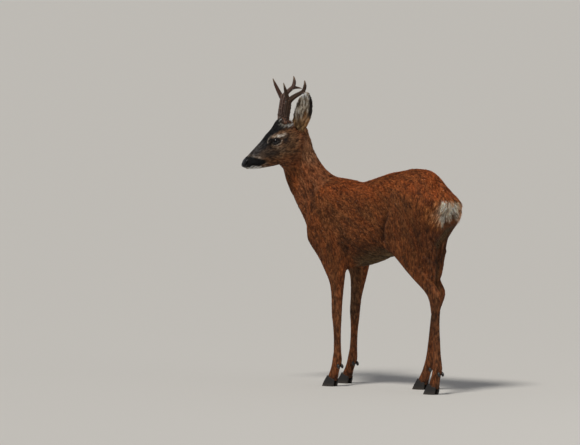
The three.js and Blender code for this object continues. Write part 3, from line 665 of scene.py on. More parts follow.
# Painted shade on the backs of the hind thighs, which face away from the light.
behind = soft(calm_normals[:, 0], -0.05, 0.5) * soft(x, 200, 250) * soft(z, 380, 460) * soft(590 - z, 0, 20)
tint(behind * 0.8, PAINTED_SHADE_BROWN)
# Painted shade in the folds of the skin.
tint(painted_fold_shade * 0.8, PAINTED_FOLD_SHADE)
# The paler hair between the hind legs, darkened the same way as painted shade.
tint(on_trunk * soft(facing_up * -1, 0.2, 0.7) * soft(x, 60, 140) * soft(70 - abs(y), 0, 40), GROIN_PALE_IN_PAINTED_SHADE)
# A dark strip runs down the front of each shin, and a dark tuft marks the outer side under the hock.
tint((on_leg > 0) * soft(330 - z, 0, 80) * soft(-calm_normals[:, 0], 0.55, 0.95) * 0.55, SHIN_DARK)
tint((on_leg > 0) * (x > 100) * np.exp(-(((z - 262) / 16) ** 2)) * (1 - inner) * 0.75, SHIN_DARK)
tint((on_leg > 0) * soft(46 - z, 0, 14) * 0.7, SHIN_DARK)

# The rump patch: two lobes that meet below the tail, white in the middle and buff at the sides.
CLEFT = 22  # the animal's weight is on its left leg, so the cleft lies a little to the right
rear = soft(calm_normals[:, 0], 0.1, 0.4) * soft(x, 272, 292)
ragged = 0.13 * fine_streaks + 0.1 * broad_streaks
across = (abs(y - CLEFT) - 44) / 58
slope = -0.12 * abs(y - CLEFT)  # each lobe hangs lower at its outer side
lobes = 1 - np.sqrt(across**2 + ((z - 622 - slope) / 41) ** 2)
patch = soft(lobes + ragged, -0.1, 0.28) * rear
tint(patch, RUMP_BUFF)
whitest = soft(54 - abs(y - CLEFT + 20), 0, 28)
tint(patch * soft(lobes + ragged * 0.5, 0.02, 0.34) * (0.12 + 0.84 * whitest), RUMP_WHITE)
# Red hair of the croup above the tail, in the same red as the back.
tint(soft(x, 262, 282) * soft(36 - abs(y), 0, 14) * soft(z, 656, 676), RED_BACK_AND_PAINTED_LIGHT)
# Painted shade in the cleft between the buttocks, under the patch.
tint(rear * np.exp(-(((y - CLEFT) / 4.5) ** 2)) * soft(612 - z, 0, 16) * soft(z, 560, 590) * 0.6, PAINTED_SHADE_BROWN)

# Face.
face = face_share[:, 0]
side = abs(w)
mottle = cloud(places * 1000, 5, 6) - 0.5 + 0.5 * (cloud(places * 1000, 11, 7) - 0.5)
tint(face, NECK_BROWN)
tint(face * soft(u, -20, 60) * soft(v, -80, -30), CHEEK)
tint(face * soft(u + 26 * mottle, 62, 128) * soft(v + 20 * mottle, -46, -8) * 0.85, FACE_GREY)
tint(face * soft(u, 40, 150) * soft(-v + 18 * mottle, 34, 56) * 0.75, JAW)
top_line = np.interp(u, (0, 60, 90, 120, 150, 180, 213), (52, 60, 54, 41, 30, 20, 7))
under_top = top_line - v + 6 * mottle
crown = soft(26 - under_top, 0, 10)
tint(face * crown * soft(u, 18, 50) * soft(158 - u, 0, 30) * soft(46 - side, 0, 12), FOREHEAD)
tint(face * soft(24 - under_top, 0, 12) * soft(u, 118, 146) * soft(212 - u, 0, 22) * 0.85, BRIDGE)
tint(face * soft(u, 184, 198) * soft(12 - under_top, 0, 8) * 0.5, NOSE_TOP)
# The dark stripe of the muzzle, from the nose back along the upper lip.
stripe_top = np.interp(u, (150, 158, 166, 176, 190, 205), (-23, -17, -11, -3, 8, 16))
mouth_line = np.interp(u, (150, 170, 182, 191, 199, 212, 221), (-30, -30, -29, -24, -18, -17, -14))
stripe = soft(stripe_top - v + 3 * mottle, -2, 3) * soft(v - mouth_line, -2.5, -0.5) * soft(u, 150, 157)
tint(face * stripe, MUZZLE_BLACK)
over_stripe = soft(stripe_top - v + 6 * mottle, -12, -4) * (1 - stripe) * soft(u, 146, 160)
tint(face * over_stripe * soft(200 - u, 0, 20) * (0.25 + 0.6 * mottle), EYE_RING)
tint(face * soft(mouth_line - v, 0.8, 3.0) * soft(u + 12 * mottle, 168, 184), WHITE)


# Round the eye, in the directions of its opening: a pale brow, a thin pale line under the lower lid
# and dark patches behind and before it.
eye_a, eye_b = np.zeros(len(places)), np.zeros(len(places))
for hand in (1, -1):
    middle, front, over, out = eye_frame(hand)
    off = places * 1000 - middle
    here = w * hand > 0
    eye_a, eye_b = np.where(here, off @ front, eye_a), np.where(here, off @ over, eye_b)
eye_spots = np.stack([eye_a, eye_b], 1)
by_eye = face * (side > 24)


def blot(a, b, wide, high):
    """A soft oval by the eye, round a place in the directions of its opening."""
    return by_eye * np.exp(-(((eye_a - a) / wide) ** 2) - ((eye_b - b) / high) ** 2)


BROW_ARC = ((29, -2), (27, 6), (22, 14), (13, 19), (2, 18), (-9, 17.5), (-19, 17), (-29, 19))
UNDER_ARC = ((13, -8.5), (5, -12), (-4, -12.5), (-13, -7.5), (-19, 2))
away, along = from_path(eye_spots, BROW_ARC, 40)
brow = np.exp(-((away / (1.9 + 3.6 * soft(along, 0.3, 0.65))) ** 2))
tint(blot(-32, 1, 12, 14), FOREHEAD)
tint(blot(19, 9, 8, 6) * 0.8, FOREHEAD)
tint(blot(-2, -19, 14, 6) * (0.6 + mottle), UNDER_EYE)
tint(by_eye * brow * (0.42 + 0.44 * soft(along, 0.35, 0.6) + 0.6 * mottle), EYE_RING)
tint(blot(-8, 17.5, 9, 4.6) * (0.7 + 0.9 * mottle), WHITE)
away, along = from_path(eye_spots, UNDER_ARC, 40)
tint(by_eye * np.exp(-((away / 2.2) ** 2)) * 0.9, EYE_RING)
near_lids = np.sqrt((eye_a / 19.5) ** 2 + ((eye_b - 1) / 13) ** 2)
tint(by_eye * soft(1.0 - near_lids, 0, 0.2) * 0.85, FOREHEAD)
tint(pressed_at["slit"] * 0.95, LID_SKIN)
tint(on_lids, LID_SKIN)
# Nose pad; painted shade in the nostrils, along the mouth and in the groove of the upper lip.
pad = face * soft(u - 0.35 * abs(v + 4), 198, 203) * soft(v, -19, -15) * soft(22 - side, 0, 3)
tint(pad, NOSE_SKIN)
tint(pressed_at["nostril"], "#060505")
tint(pressed_at["mouth"] * 0.9, "#120e0d")
tint(pressed_at["lip"] * 0.8, "#080606")
# Pale hairs stand round the burrs.
for hand in (1, -1):
    burr = on_head(31, 60, 24 * hand)
    away = np.linalg.norm(places - burr, axis=1) * 1000
    tufts_of_white = soft(cloud(places * 1000, 6, 5), 0.36, 0.6)
    tint(face * np.exp(-(((away - 18) / 6) ** 2)) * tufts_of_white, WHITE)

# Ears: brown behind, dark along the edge, pale hair inside over bare pinkish skin.
ear = (on_ear > 0).astype(float)
ear_width = np.interp(ear_rise, (0, 0.12, 0.28, 0.45, 0.62, 0.78, 0.9, 1), (18, 24, 30, 32, 30, 25, 17, 6))
edge = soft(abs(ear_across) / ear_width, 0.72, 0.96)
tint(ear * (1 - ear_inside), EAR_BACK)
tint(ear * ear_inside, EAR_SKIN)
hair_runs = streaks(places, lie, 4.5, 26, 8)
hairy = 0.2 + 0.5 * soft(ear_rise, 0.3, 0.62) + 0.5 * np.clip(hair_runs, -1, 1)
tint(ear * ear_inside * hairy * soft(ear_rise, 0.1, 0.3), EAR_HAIR)
tint(ear * ear_inside * soft(-hair_runs, 0.5, 1.1) * soft(0.9 - ear_rise, 0, 0.2) * 0.75, EAR_RIM)
tint(ear * soft(0.62 - ear_rise, 0, 0.3) * soft(0.1 - ear_across / ear_width, 0, 0.5) * 0.7, EAR_BASE)
tint(ear * soft(0.34 - ear_rise, 0, 0.2) * 0.75, EAR_BASE)
# White hair at the ear tips, painted brighter than it is: partly its own colour, partly painted light.
tips = soft(ear_rise, 0.76, 0.84) * soft(0.98 - ear_rise, 0, 0.04) * (0.4 + 0.6 * soft(hair_runs, -0.9, 0.1))
tint(ear * ear_inside * tips, EAR_TIP_WITH_PAINTED_LIGHT)
tint(ear * (1 - ear_inside) * soft(ear_rise, 0.55, 0.95) * 0.7, EAR_RIM)
tint(ear * soft(-ear_across / ear_width, 0.4, 0.6) * soft(ear_rise, 0.26, 0.44), EAR_RIM)
tint(ear * soft(ear_rise, 0.97, 1.0), EAR_RIM)

# Old and young hair: lighter and darker streaks, stronger on the body than on the dark face.
bare = np.clip(pad + on_lids + in_opening + pressed_at["nostril"], 0, 1)
liveliness = 1 - bare


def streaked(colours, spots, way, liveliness, on_face):
    fine = streaks(spots, way, 3.3, 9, 1) * (1 - on_face) + streaks(spots, way, 2.8, 6, 4) * on_face
    fine = np.maximum(fine, -1.2)
    broad = streaks(spots, way, 13, 60, 2)
    strength = 0.5 + 0.06 * on_face
    tone = 1 + liveliness * (strength * fine + 0.04 * broad + 0.14 * (cloud(spots * 1000, 60, 3) - 0.5))
    colours = colours * tone[:, None]
    # Some of the hair is greyer and some more yellow.
    warmth = (liveliness * 0.05 * (broad - fine))[:, None] * np.array((1.0, 0.0, -1.0))
    return np.clip(colours * (1 + warmth), 0.002, 0.95)


keep_paint(hide, "coat", streaked(colours, places, lie, liveliness, face))
wet = hide.data.attributes.new("wet", "FLOAT", "POINT")
wet.data.foreach_set("value", np.clip(pad + on_lids * 0.8, 0, 1).astype(np.float32))


def add(material, kind, settings=None, **links):
    """Adds a node with its settings; each link is a value or another node's output."""
    node = material.node_tree.nodes.new(kind)
    for key, value in (settings or {}).items():
        setattr(node, key, value)
    for key, value in links.items():
        socket = node.inputs[int(key[1:]) if key[1:].isdigit() else key.replace("_", " ")]
        if isinstance(value, bpy.types.NodeSocket):
            material.node_tree.links.new(value, socket)
        else:
            socket.default_value = value
    return node


def new_material(name):
    material = bpy.data.materials.new(name)
    material.use_nodes = True
    material.node_tree.nodes.clear()
    return material


def finish_material(material, surface):
    output = material.node_tree.nodes.new("ShaderNodeOutputMaterial")
    material.node_tree.links.new(surface.outputs[0], output.inputs["Surface"])


def toned_by(material, tone, grain, low, high, start=0.3, stop=0.7):
    """A colour with its brightness multiplied by low to high, as the grain goes from start to stop."""
    share = add(material, "ShaderNodeMapRange", Value=grain, i1=start, i2=stop, i3=low, i4=high)
    return add(material, "ShaderNodeVectorMath", {"operation": "MULTIPLY"}, i0=tone, i1=share.outputs[0])


# Short hair on skin: fibres 0.05 mm thick, drawn here as grain 0.8 mm wide and 2 to 4 mm long so
# that it shows. The bare nose is wet, pebbled skin with a clear shine.
short_hair = new_material("short_summer_hair_on_skin")
where = add(short_hair, "ShaderNodeTexCoord")
tone = add(short_hair, "ShaderNodeAttribute", {"attribute_name": "coat"})
damp = add(short_hair, "ShaderNodeAttribute", {"attribute_name": "wet"})
along_body = add(short_hair, "ShaderNodeMapping", Vector=where.outputs["Object"], Scale=(0.2, 1.0, 0.45))
hairs = add(
    short_hair, "ShaderNodeTexNoise", Vector=along_body.outputs[0], Scale=1250.0, Detail=3.0,
    Roughness=0.6,
)
pebbles = add(short_hair, "ShaderNodeTexVoronoi", Vector=where.outputs["Object"], Scale=620.0)
toned = toned_by(short_hair, tone.outputs["Color"], hairs.outputs["Fac"], 0.8, 1.16)
gloss = add(short_hair, "ShaderNodeMapRange", Value=damp.outputs["Fac"], i3=0.68, i4=0.26)
height = add(
    short_hair, "ShaderNodeMix", {"data_type": "FLOAT"}, i0=damp.outputs["Fac"],
    i2=hairs.outputs["Fac"], i3=pebbles.outputs["Distance"],
)
relief = add(short_hair, "ShaderNodeBump", Height=height.outputs[0], Strength=0.55, Distance=0.0006)
skin_shader = add(
    short_hair, "ShaderNodeBsdfPrincipled", Base_Color=toned.outputs[0], Roughness=gloss.outputs[0],
    Normal=relief.outputs[0], IOR=1.5, Specular_IOR_Level=0.25,
)
finish_material(short_hair, skin_shader)
hide.data.materials.append(short_hair)

# ---------------------------------------------------------------- coat
# The summer coat: short, stiff hairs in small flat locks, each from one root, overlapping like
# thatch. A lock is a thin closed blade, narrow at the root, widest a third along and fine at the tip.

TRIANGLES = 6
COAT_LIMIT = 32_000  # locks in one piece
LOCK_FACES = np.array((
    (0, 1, 3), (0, 3, 2), (0, 2, 1), (4, 3, 1), (4, 2, 3), (4, 1, 2),
))
# Each lock's corners on the unwrap, within a patch 0.003 across at its root's place.
LOCK_PATCH = np.array(((0, -0.0015), (-0.0012, 0), (0.0012, 0), (0, 0.0004), (0, 0.0015)))

face_corners = read(hide.data.polygons, "vertices", 3, np.int32)
corner_maps = read(hide.data.uv_layers["OFBake"].data, "uv", 2).reshape(-1, 3, 2).astype(float)
sides_a = places[face_corners[:, 1]] - places[face_corners[:, 0]]
sides_b = places[face_corners[:, 2]] - places[face_corners[:, 0]]
face_areas = np.linalg.norm(np.cross(sides_a, sides_b), axis=1) * 5e5  # in square millimetres

# Length, width and lift of the locks over the hide, in millimetres and degrees.
length = 14.0 + 2.0 * soft(600 - z, 0, 200)
lock_width = np.full(len(places), 2.1)
rise = np.full(len(places), 9.0)


def locks(share, new_length, new_width, new_rise):
    global length, lock_width, rise
    share = np.clip(share, 0, 1)
    length = length * (1 - share) + new_length * share
    lock_width = lock_width * (1 - share) + new_width * share
    rise = rise * (1 - share) + new_rise * share


leg_share = spread(on_leg, 8)[:, 0]
locks(leg_share * soft(520 - z, 0, 160), 9.0, 1.5, 8)
locks(leg_share * soft(300 - z, 0, 150), 6.0, 1.15, 7)
locks((on_leg > 0) * soft(46 - z, 0, 12), 8.0, 1.2, 11)
locks(on_neck, 12.5, 1.9, 10)
locks(patch, 22.0, 2.0, 20)
locks(soft(lobes, -0.5, -0.1) * rear * (1 - patch), 17.0, 2.0, 13)
locks(face * soft(u, -20, 30), 9.5, 1.5, 8)
locks(face * soft(u, 40, 90), 6.0, 1.05, 7)
locks(face * soft(u, 140, 190), 3.4, 0.75, 7)
locks(face * crown * soft(70 - u, 0, 30), 13.0, 1.5, 26)
locks(by_eye * soft(34 - np.hypot(eye_a, eye_b), 0, 8), 4.0, 0.75, 7)
locks(ear * (1 - ear_inside), 6.0, 1.2, 7)
locks(ear * ear_inside, 11.0, 0.75, 16)
locks(ear * edge, 6.5, 0.8, 12)
OVERLAP = 1.75
density = OVERLAP / (0.5 * length * lock_width)
hairless = np.clip(pad * 1.4 + on_lids * 1.5 + in_opening * 2 + pressed_at["nostril"] * 1.5
                   + pressed_at["slit"] * 0.8 + pressed_at["mouth"] * 0.8 + pressed_at["lip"], 0, 1)
density *= 1 - hairless
density[bare_count:] = 0

face_density = density[face_corners].mean(1) * face_areas
count = int(face_density.sum())
ladder = np.cumsum(face_density) / face_density.sum()
picked = np.searchsorted(ladder, (np.arange(count) + rng.random(count)) / count)
picked = np.clip(picked, 0, len(face_corners) - 1)
r1, r2 = np.sqrt(rng.random(count)), rng.random(count)
weights = np.stack([1 - r1, r1 * (1 - r2), r1 * r2], 1)


def at_roots(values):
    rows = values[face_corners[picked]]
    return (rows * (weights if rows.ndim == 2 else weights[..., None])).sum(1)


root = at_roots(places)
root_normal = unit(at_roots(calm_normals))
root_lie = at_roots(lie)
root_colour = streaked(at_roots(colours), root, root_lie, at_roots(liveliness), at_roots(face))
root_map = (corner_maps[picked] * weights[..., None]).sum(1)
root_length = at_roots(length) / 1000
root_width = at_roots(lock_width) / 1000
root_rise = np.radians(at_roots(rise))
root_part = part[face_corners[picked, 0]]
root_patch = at_roots(patch)
skin_tree = BVHTree.FromPolygons(places.tolist(), face_corners.tolist())
LEAST = 0.0005  # every part of a lock is at least this high over the skin, in metres
ROOT_DEPTH = 0.0004  # the root starts this far under it
WANDER = 9.0  # how far locks stray from the lie, in degrees
CURL = 0.35  # how much of its rise a lock's tip gives up
RAGGED = 0.25  # how much the lengths differ
WIDEST = 0.38  # where along the lock it is widest
SHADES = np.array((0.78, 0.97, 0.97, 1.05, 1.14))  # darker at the root, lighter at the tip


def laid(spots, highest):
    """Spots moved straight in or out until they lie within their height over the skin."""
    found = [skin_tree.find_nearest(spot)[:2] for spot in spots.tolist()]
    below = np.array([tuple(spot) for spot, _ in found])
    facing = np.array([tuple(way) for _, way in found])
    height = ((spots - below) * facing).sum(1, keepdims=True)
    return spots + facing * (np.clip(height, LEAST, np.maximum(highest, LEAST)) - height)


def grow(name, chosen):
    """Locks on the chosen roots, as one piece named for its place on the body."""
    n = int(chosen.sum())
    p, normal, run = root[chosen], root_normal[chosen], root_lie[chosen]
    beside = np.cross(normal, run)
    turn = np.radians(rng.normal(0, WANDER, n))[:, None]
    run = unit(run * np.cos(turn) + beside * np.sin(turn))
    run = unit(run - normal * (run * normal).sum(1, keepdims=True))
    beside = np.cross(normal, run)
    long = (root_length[chosen] * np.clip(rng.normal(1, RAGGED, n), 0.5, 1.7))[:, None]
    wide = (root_width[chosen] * rng.uniform(0.75, 1.25, n))[:, None]
    angle = (root_rise[chosen] * np.clip(rng.normal(1, 0.35, n), 0.3, 2.2))[:, None]
    up, ahead = np.sin(angle), np.cos(angle)
    middle = laid(p + long * WIDEST * (ahead * run + up * normal), long * 0.42 * up)
    tip = laid(p + long * (ahead * run + normal * up * (1 - CURL)), long * up * (1 - CURL))
    thick = wide * 0.22
    spots = np.empty((n, 5, 3))
    spots[:, 0] = p - normal * ROOT_DEPTH
    spots[:, 1] = middle + beside * wide / 2
    spots[:, 2] = middle - beside * wide / 2
    spots[:, 3] = middle + normal * thick
    spots[:, 4] = tip
    shade = rng.normal(1, 0.1, (n, 1, 1)) * SHADES[None, :, None]
    paint = np.clip(root_colour[chosen][:, None, :] * shade, 0.002, 0.97)
    faces = (np.arange(n)[:, None, None] * 5 + LOCK_FACES[None]).reshape(-1)
    mesh = bpy.data.meshes.new(name)
    mesh.vertices.add(n * 5)
    mesh.vertices.foreach_set("co", spots.astype(np.float32).ravel())
    mesh.loops.add(len(faces))
    mesh.loops.foreach_set("vertex_index", faces.astype(np.int32))
    mesh.polygons.add(n * TRIANGLES)
    mesh.polygons.foreach_set("loop_start", np.arange(0, len(faces), 3, dtype=np.int32))
    mesh.polygons.foreach_set("use_smooth", np.ones(n * TRIANGLES, bool))
    mesh.update(calc_edges=True)
    spots_on_map = root_map[chosen][:, None, :] + LOCK_PATCH[None]
    mesh.uv_layers.new(name="OFBake").data.foreach_set(
        "uv", spots_on_map.reshape(-1, 2)[faces].astype(np.float32).ravel())
    piece = bpy.data.objects.new(name, mesh)
    bpy.context.scene.collection.objects.link(piece)
    keep_paint(piece, "coat", paint.reshape(-1, 3))
    mesh.materials.append(hair)
    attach(piece, "root")


# Coarse summer hair: smooth fibres that shine softly along the lock, darker at the root.
hair = new_material("summer_hair")
where = add(hair, "ShaderNodeTexCoord")
tone = add(hair, "ShaderNodeAttribute", {"attribute_name": "coat"})
flecks = add(hair, "ShaderNodeTexNoise", Vector=where.outputs["Object"], Scale=420.0, Detail=2.0)
toned = toned_by(hair, tone.outputs["Color"], flecks.outputs["Fac"], 0.86, 1.12)
hair_shader = add(
    hair, "ShaderNodeBsdfPrincipled", Base_Color=toned.outputs[0], Roughness=0.55, IOR=1.5,
    Specular_IOR_Level=0.25,
)
finish_material(hair, hair_shader)

root_x, root_y, _ = body_places(root)
rump = (root_patch > 0.02) & (root_part == FLESH.index("trunk")) | (root_part == FLESH.index("tail"))
areas = {"coat_rump": rump}
trunk = (root_part == FLESH.index("trunk")) & ~rump
for side, hand in (("left", -1), ("right", 1)):
    on_side = root_y * hand > 0
    for band, (low, high) in {"shoulder": (-999, -90), "ribs": (-90, 80), "haunch": (80, 999)}.items():
        areas[f"coat_{band}_{side}"] = trunk & on_side & (root_x >= low) & (root_x < high)
    areas[f"coat_ear_{side}"] = root_part == FLESH.index(f"ear_{side}")
    for leg in ("fore", "hind"):
        areas[f"coat_leg_{leg}_{side}"] = root_part == FLESH.index(f"leg_{leg}_{side}")
areas["coat_neck"] = root_part == FLESH.index("neck")
on_left = head_places(root)[2] >= 0
areas["coat_head_left"] = (root_part == FLESH.index("head")) & on_left
areas["coat_head_right"] = (root_part == FLESH.index("head")) & ~on_left
for name, chosen in areas.items():
    numbers = np.flatnonzero(chosen)
    for k in range(0, max(len(numbers), 1), COAT_LIMIT):
        some = np.zeros(count, bool)
        some[numbers[k:k + COAT_LIMIT]] = True
        if some.any():
            grow(name if k == 0 else f"{name}_{k // COAT_LIMIT + 1}", some)

# ---------------------------------------------------------------- eyes
# A deer's eye: a dark, wet ball with a brown iris and a wide pupil, under a clear swollen cornea.

IRIS = "#1c110b"
PUPIL = "#050506"
WHITE_OF_EYE = "#2a201a"

cornea = new_material("wet_cornea")
tone = add(cornea, "ShaderNodeAttribute", {"attribute_name": "eye"})
where = add(cornea, "ShaderNodeTexCoord")
fibres = add(cornea, "ShaderNodeTexNoise", Vector=where.outputs["Object"], Scale=900.0, Detail=2.0)
toned = toned_by(cornea, tone.outputs["Color"], fibres.outputs["Fac"], 0.7, 1.3, 0.0, 1.0)
eye_shader = add(
    cornea, "ShaderNodeBsdfPrincipled", Base_Color=toned.outputs[0], Roughness=0.05, IOR=1.34,
)
finish_material(cornea, eye_shader)
for side_name, hand in (("left", 1), ("right", -1)):
    middle, front, over, out = eye_frame(hand)
    bpy.ops.object.select_all(action="DESELECT")
    bpy.ops.mesh.primitive_uv_sphere_add(segments=64, ring_count=48, radius=EYE_RADIUS - 0.2)
    eye = bpy.context.view_layer.objects.active
    eye.name = f"eyeball_{side_name}"
    spots = corners_of(eye)
    # The ball's pole faces outwards, and the cornea swells over the iris.
    away = np.linalg.norm(spots[:, :2], axis=1)
    lifted = spots[:, 2] + 0.9 * np.exp(-((away / 8.0) ** 4)) * (spots[:, 2] > 0)
    iris = (1 - soft(away, 10.8, 11.6)) * (spots[:, 2] > 0)
    pupil = 1 - soft(np.sqrt((spots[:, 0] / 6.6) ** 2 + (spots[:, 1] / 4.4) ** 2), 0.92, 1.04)
    paint = np.tile(linear(WHITE_OF_EYE), (len(spots), 1))
    paint = covered(covered(paint, iris, IRIS), pupil * (spots[:, 2] > 0), PUPIL)
    turned = spots[:, :1] * front + spots[:, 1:2] * over + lifted[:, None] * out
    move_corners(eye, (middle + turned) / 1000)
    keep_paint(eye, "eye", paint)
    if np.cross(front, over) @ out < 0:
        eye.data.flip_normals()
    eye.data.materials.append(cornea)
    bpy.ops.object.shade_smooth()
    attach(eye, "root")
    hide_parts(f"eye_{side_name}")

# ---------------------------------------------------------------- antlers
# Two hard antlers of dead bone: a knobbly burr on the skull, a pearled and grooved beam with three
# points, stained brown by bark sap and rubbed pale at the points and along the ridges.

BEAM_PLACES = {
    "left": ((32, 61, 24), (17, 80, 27), (1, 105, 33), (-11, 122, 38), (-40, 128, 44), (-65, 130, 49),
             (-80, 145, 51), (-86, 162, 52)),
    "right": ((32, 61, 24), (22, 82, 27), (1, 110, 33), (-15, 128, 40), (-41, 138, 49), (-64, 142, 57),
              (-77, 156, 60), (-83, 173, 62)),
}
ANTLER_CELL = 0.001
PEARLS = 110
SAP_STAIN_AND_SHADE = {"left": "#33200f", "right": "#452b1f"}  # the left antler is painted darker, as painted shade on its side that faces away from the light
STAIN_DARK = "#180e09"
# The left antler's rubbed places are painted darker as well, as painted shade.
RUBBED_AND_SHADE = {"left": "#6e4c3a", "right": "#a08474"}
POINT_PALE = "#94806c"
antler_bone = new_material("stained_antler_bone")
tone = add(antler_bone, "ShaderNodeAttribute", {"attribute_name": "bone"})
where = add(antler_bone, "ShaderNodeTexCoord")
pores = add(
    antler_bone, "ShaderNodeTexNoise", Vector=where.outputs["Object"], Scale=700.0, Detail=4.0,
    Roughness=0.65,
)
toned = toned_by(antler_bone, tone.outputs["Color"], pores.outputs["Fac"], 0.75, 1.25)
relief = add(antler_bone, "ShaderNodeBump", Height=pores.outputs["Fac"], Strength=0.5, Distance=0.0005)
bone_shader = add(
    antler_bone, "ShaderNodeBsdfPrincipled", Base_Color=toned.outputs[0], Roughness=0.55, IOR=1.54,
    Normal=relief.outputs[0], Specular_IOR_Level=0.28,
)
finish_material(antler_bone, bone_shader)
for side_name, hand in (("left", 1), ("right", -1)):
    nodes = [f"antler_{side_name}_{name}" for name in
             ("beam", "upper_beam", "top_tine", "front_tine", "rear_tine")]
    antler = joined_copy(nodes, f"antler_{side_name}", 0.0004)
    recast(antler, ANTLER_CELL)
    smooth_out(antler, 12)
    spots = corners_of(antler)
    outwards = normals_of(antler)
    line = np.array([on_head(pu, pv, pw * hand) * 1000 for pu, pv, pw in BEAM_PLACES[side_name]])
    away, along = from_path(spots * 1000, line, 120)
    # Grooves run up the beam: a wave round it that wanders a little.
    steps = along * (len(line) - 1)
    core = np.stack([np.interp(steps, range(len(line)), line[:, c]) for c in range(3)], 1)
    run = unit(np.stack([np.interp(np.minimum(steps + 0.3, len(line) - 1), range(len(line)), line[:, c])
                         for c in range(3)], 1) - core + 1e-6)
    first = unit(np.cross(run, LEFT))
    second = np.cross(run, first)
    off = spots * 1000 - core
    round_beam = np.arctan2((off * second).sum(1), (off * first).sum(1))
    waves = np.cos(8 * round_beam + 3 * np.sin(5 * along)) + 0.5 * np.cos(13 * round_beam + 9 * along)
    swell = 0.28 * waves * soft(along, 0.04, 0.12) * soft(0.98 - along, 0, 0.3) * (away < 16)
    # Pearls: small knobs, crowded low on the beam and largest round the burr.
    pearl = np.zeros(len(spots))
    low = np.flatnonzero((along < 0.45) & (away < 20))
    seeds = rng.choice(low, PEARLS, replace=False, p=(0.5 - along[low]) / (0.5 - along[low]).sum())
    for seed in seeds:
        at_burr = along[seed] < 0.07
        size = rng.uniform(2.6, 4.2) if at_burr else rng.uniform(1.5, 2.7)
        knob = np.exp(-((np.linalg.norm(spots - spots[seed], axis=1) * 1000 / size) ** 2))
        pearl = np.maximum(pearl, knob * (1.0 if at_burr else 0.75))
    swell += 1.7 * pearl
    spots += outwards * (swell / 1000)[:, None]
    move_corners(antler, spots)
    tips = np.full(len(spots), 999.0)
    for node in nodes[2:]:
        corners = corners_of(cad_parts[node])
        reach = corners[np.argmax(np.linalg.norm(corners - line[0] / 1000, axis=1))]
        tips = np.minimum(tips, np.linalg.norm(spots - reach, axis=1) * 1000)
    ridge = np.clip(waves * 0.5, -0.6, 1.0) * (away < 16)
    # Sap stain, with the left antler painted darker as painted shade.
    paint = np.tile(linear(SAP_STAIN_AND_SHADE[side_name]), (len(spots), 1))
    paint = covered(paint, 0.55 * soft(0.32 - along, 0, 0.25) + 0.4 * soft(-ridge, 0, 0.6), STAIN_DARK)
    worn = np.minimum(0.5 * soft(ridge, 0.1, 0.8) + 0.8 * soft(pearl, 0.4, 0.85), 0.9)
    paint = covered(paint, worn, RUBBED_AND_SHADE[side_name])
    keep_paint(antler, "bone", covered(paint, soft(20 - tips, 0, 16) * 0.6, POINT_PALE))
    shade_smoothly(antler)
    antler.data.materials.append(antler_bone)
    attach(antler, "root")
    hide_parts(*nodes)

# ---------------------------------------------------------------- hooves
# Four feet with two claws and two dewclaws each: hard black horn that grows down from the coronet
# in faint rings and is worn matt and a little pale at the ground.

HOOF_CELL = 0.0011
HORN_BLACK = "#1f1b19"
HORN_WORN = "#4d443c"
hoof_horn = new_material("black_hoof_horn")
where = add(hoof_horn, "ShaderNodeTexCoord")
level = add(hoof_horn, "ShaderNodeSeparateXYZ", i0=where.outputs["Object"])
wander = add(hoof_horn, "ShaderNodeTexNoise", Vector=where.outputs["Object"], Scale=90.0, Detail=2.0)
tilted = add(
    hoof_horn, "ShaderNodeMath", {"operation": "MULTIPLY_ADD"}, i0=wander.outputs["Fac"], i1=0.006,
    i2=level.outputs["Z"],
)
# Growth rings about 3.5 mm apart.
rings = add(hoof_horn, "ShaderNodeMath", {"operation": "MULTIPLY"}, i0=tilted.outputs[0], i1=1800.0)
wave = add(hoof_horn, "ShaderNodeMath", {"operation": "SINE"}, i0=rings.outputs[0])
grit = add(hoof_horn, "ShaderNodeTexNoise", Vector=where.outputs["Object"], Scale=1500.0, Detail=3.0)
mixed = add(
    hoof_horn, "ShaderNodeMath", {"operation": "MULTIPLY_ADD"}, i0=grit.outputs["Fac"], i1=0.6,
    i2=wave.outputs[0],
)
relief = add(hoof_horn, "ShaderNodeBump", Height=mixed.outputs[0], Strength=0.35, Distance=0.0003)
worn = add(hoof_horn, "ShaderNodeMapRange", Value=level.outputs["Z"], i1=0.0, i2=0.014, i3=1.0, i4=0.0)
worn_some = add(
    hoof_horn, "ShaderNodeMath", {"operation": "MULTIPLY"}, i0=worn.outputs[0],
    i1=grit.outputs["Fac"],
)
horn_tone = add(
    hoof_horn, "ShaderNodeMix", {"data_type": "RGBA"}, i0=worn_some.outputs[0],
    i6=(*linear(HORN_BLACK), 1.0), i7=(*linear(HORN_WORN), 1.0),
)
horn_shader = add(
    hoof_horn, "ShaderNodeBsdfPrincipled", Base_Color=horn_tone.outputs[2], Roughness=0.42, IOR=1.54,
    Normal=relief.outputs[0],
)
finish_material(hoof_horn, horn_shader)
for leg in ("fore_left", "fore_right", "hind_left", "hind_right"):
    nodes = [f"{kind}_{leg}_{claw}" for kind in ("hoof", "dewclaw") for claw in ("inner", "outer")]
    hooves = joined_copy(nodes, f"hooves_{leg}")
    recast(hooves, HOOF_CELL)
    smooth_out(hooves, 10)
    thinner = hooves.modifiers.new("thinner", "DECIMATE")
    thinner.ratio = 0.4
    bpy.ops.object.modifier_apply(modifier=thinner.name)
    shade_smoothly(hooves)
    hooves.data.materials.append(hoof_horn)
    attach(hooves, "root")
    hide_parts(*nodes)

# ---------------------------------------------------------------- studio
# A plain pale floor, a soft key light from the upper left, a fill from the right and a pale sky.

bpy.ops.object.select_all(action="DESELECT")
bpy.ops.mesh.primitive_plane_add(size=240)
floor = bpy.context.view_layer.objects.active
floor.name = "floor"
pale_floor = new_material("pale_studio_floor")
floor_shader = add(
    pale_floor, "ShaderNodeBsdfPrincipled", Base_Color=(*linear("#d9d6d0"), 1.0), Roughness=0.9)
finish_material(pale_floor, floor_shader)
floor.data.materials.append(pale_floor)

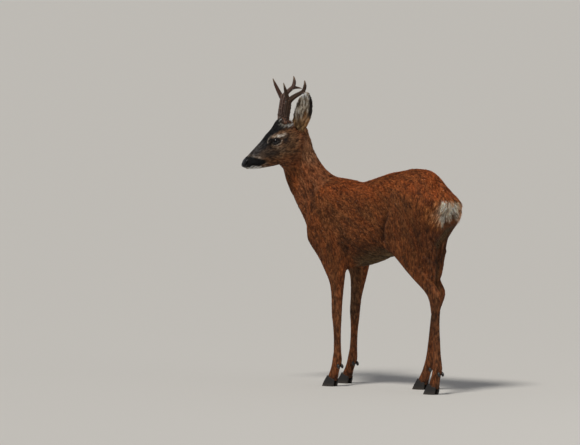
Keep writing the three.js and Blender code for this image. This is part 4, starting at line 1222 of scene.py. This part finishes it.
CAMERA_TURN = math.radians(45)
CAMERA_RISE = math.radians(4)
CAMERA_AWAY = 40.0
FRAME_WIDTH = 1.966  # metres across the picture, at the animal
SENSOR = 36  # millimetres
right = np.array((math.cos(CAMERA_TURN), math.sin(CAMERA_TURN), 0.0))
ahead = np.array((
    -math.sin(CAMERA_TURN) * math.cos(CAMERA_RISE),
    math.cos(CAMERA_TURN) * math.cos(CAMERA_RISE),
    -math.sin(CAMERA_RISE),
))
above = np.cross(right, ahead)
# The animal's middle is right of the picture's, and its back above it.
aim = (right * -305.1 + above * 561.0 + BODY_MIDDLE) / 1000
bpy.ops.object.camera_add(location=tuple(aim - ahead * CAMERA_AWAY))
camera = bpy.context.view_layer.objects.active
camera.rotation_euler = Vector(ahead).to_track_quat("-Z", "Y").to_euler()
camera.data.sensor_width = SENSOR
camera.data.lens = SENSOR * CAMERA_AWAY / FRAME_WIDTH
camera.data.clip_end = 400
bpy.context.scene.camera = camera

KEY_RISE = math.radians(60)
toward_key = (-right * 0.55 - ahead * 0.85) * math.cos(KEY_RISE)
toward_key[2] = math.sin(KEY_RISE)
bpy.ops.object.light_add(type="SUN")
key = bpy.context.view_layer.objects.active
key.name = "key"
key.data.energy = 2.05
key.data.angle = math.radians(14)
key.data.color = (1.0, 0.97, 0.92)
key.rotation_euler = Vector(toward_key).to_track_quat("Z", "Y").to_euler()
fill_place = Vector(right * 3.4 - ahead * 2.6 + np.array((0, 0, 1.8)))
bpy.ops.object.light_add(type="AREA", location=fill_place)
fill = bpy.context.view_layer.objects.active
fill.name = "fill"
fill.data.shape = "DISK"
fill.data.size = 3.0
fill.data.energy = 20
fill.rotation_euler = (Vector((0, 0, 0.5)) - fill_place).to_track_quat("-Z", "Y").to_euler()
world = bpy.data.worlds.new("studio")
bpy.context.scene.world = world
world.use_nodes = True
world.node_tree.nodes["Background"].inputs["Color"].default_value = (0.9, 0.93, 1.0, 1)
world.node_tree.nodes["Background"].inputs["Strength"].default_value = 0.22
bpy.context.scene.view_settings.view_transform = "Standard"
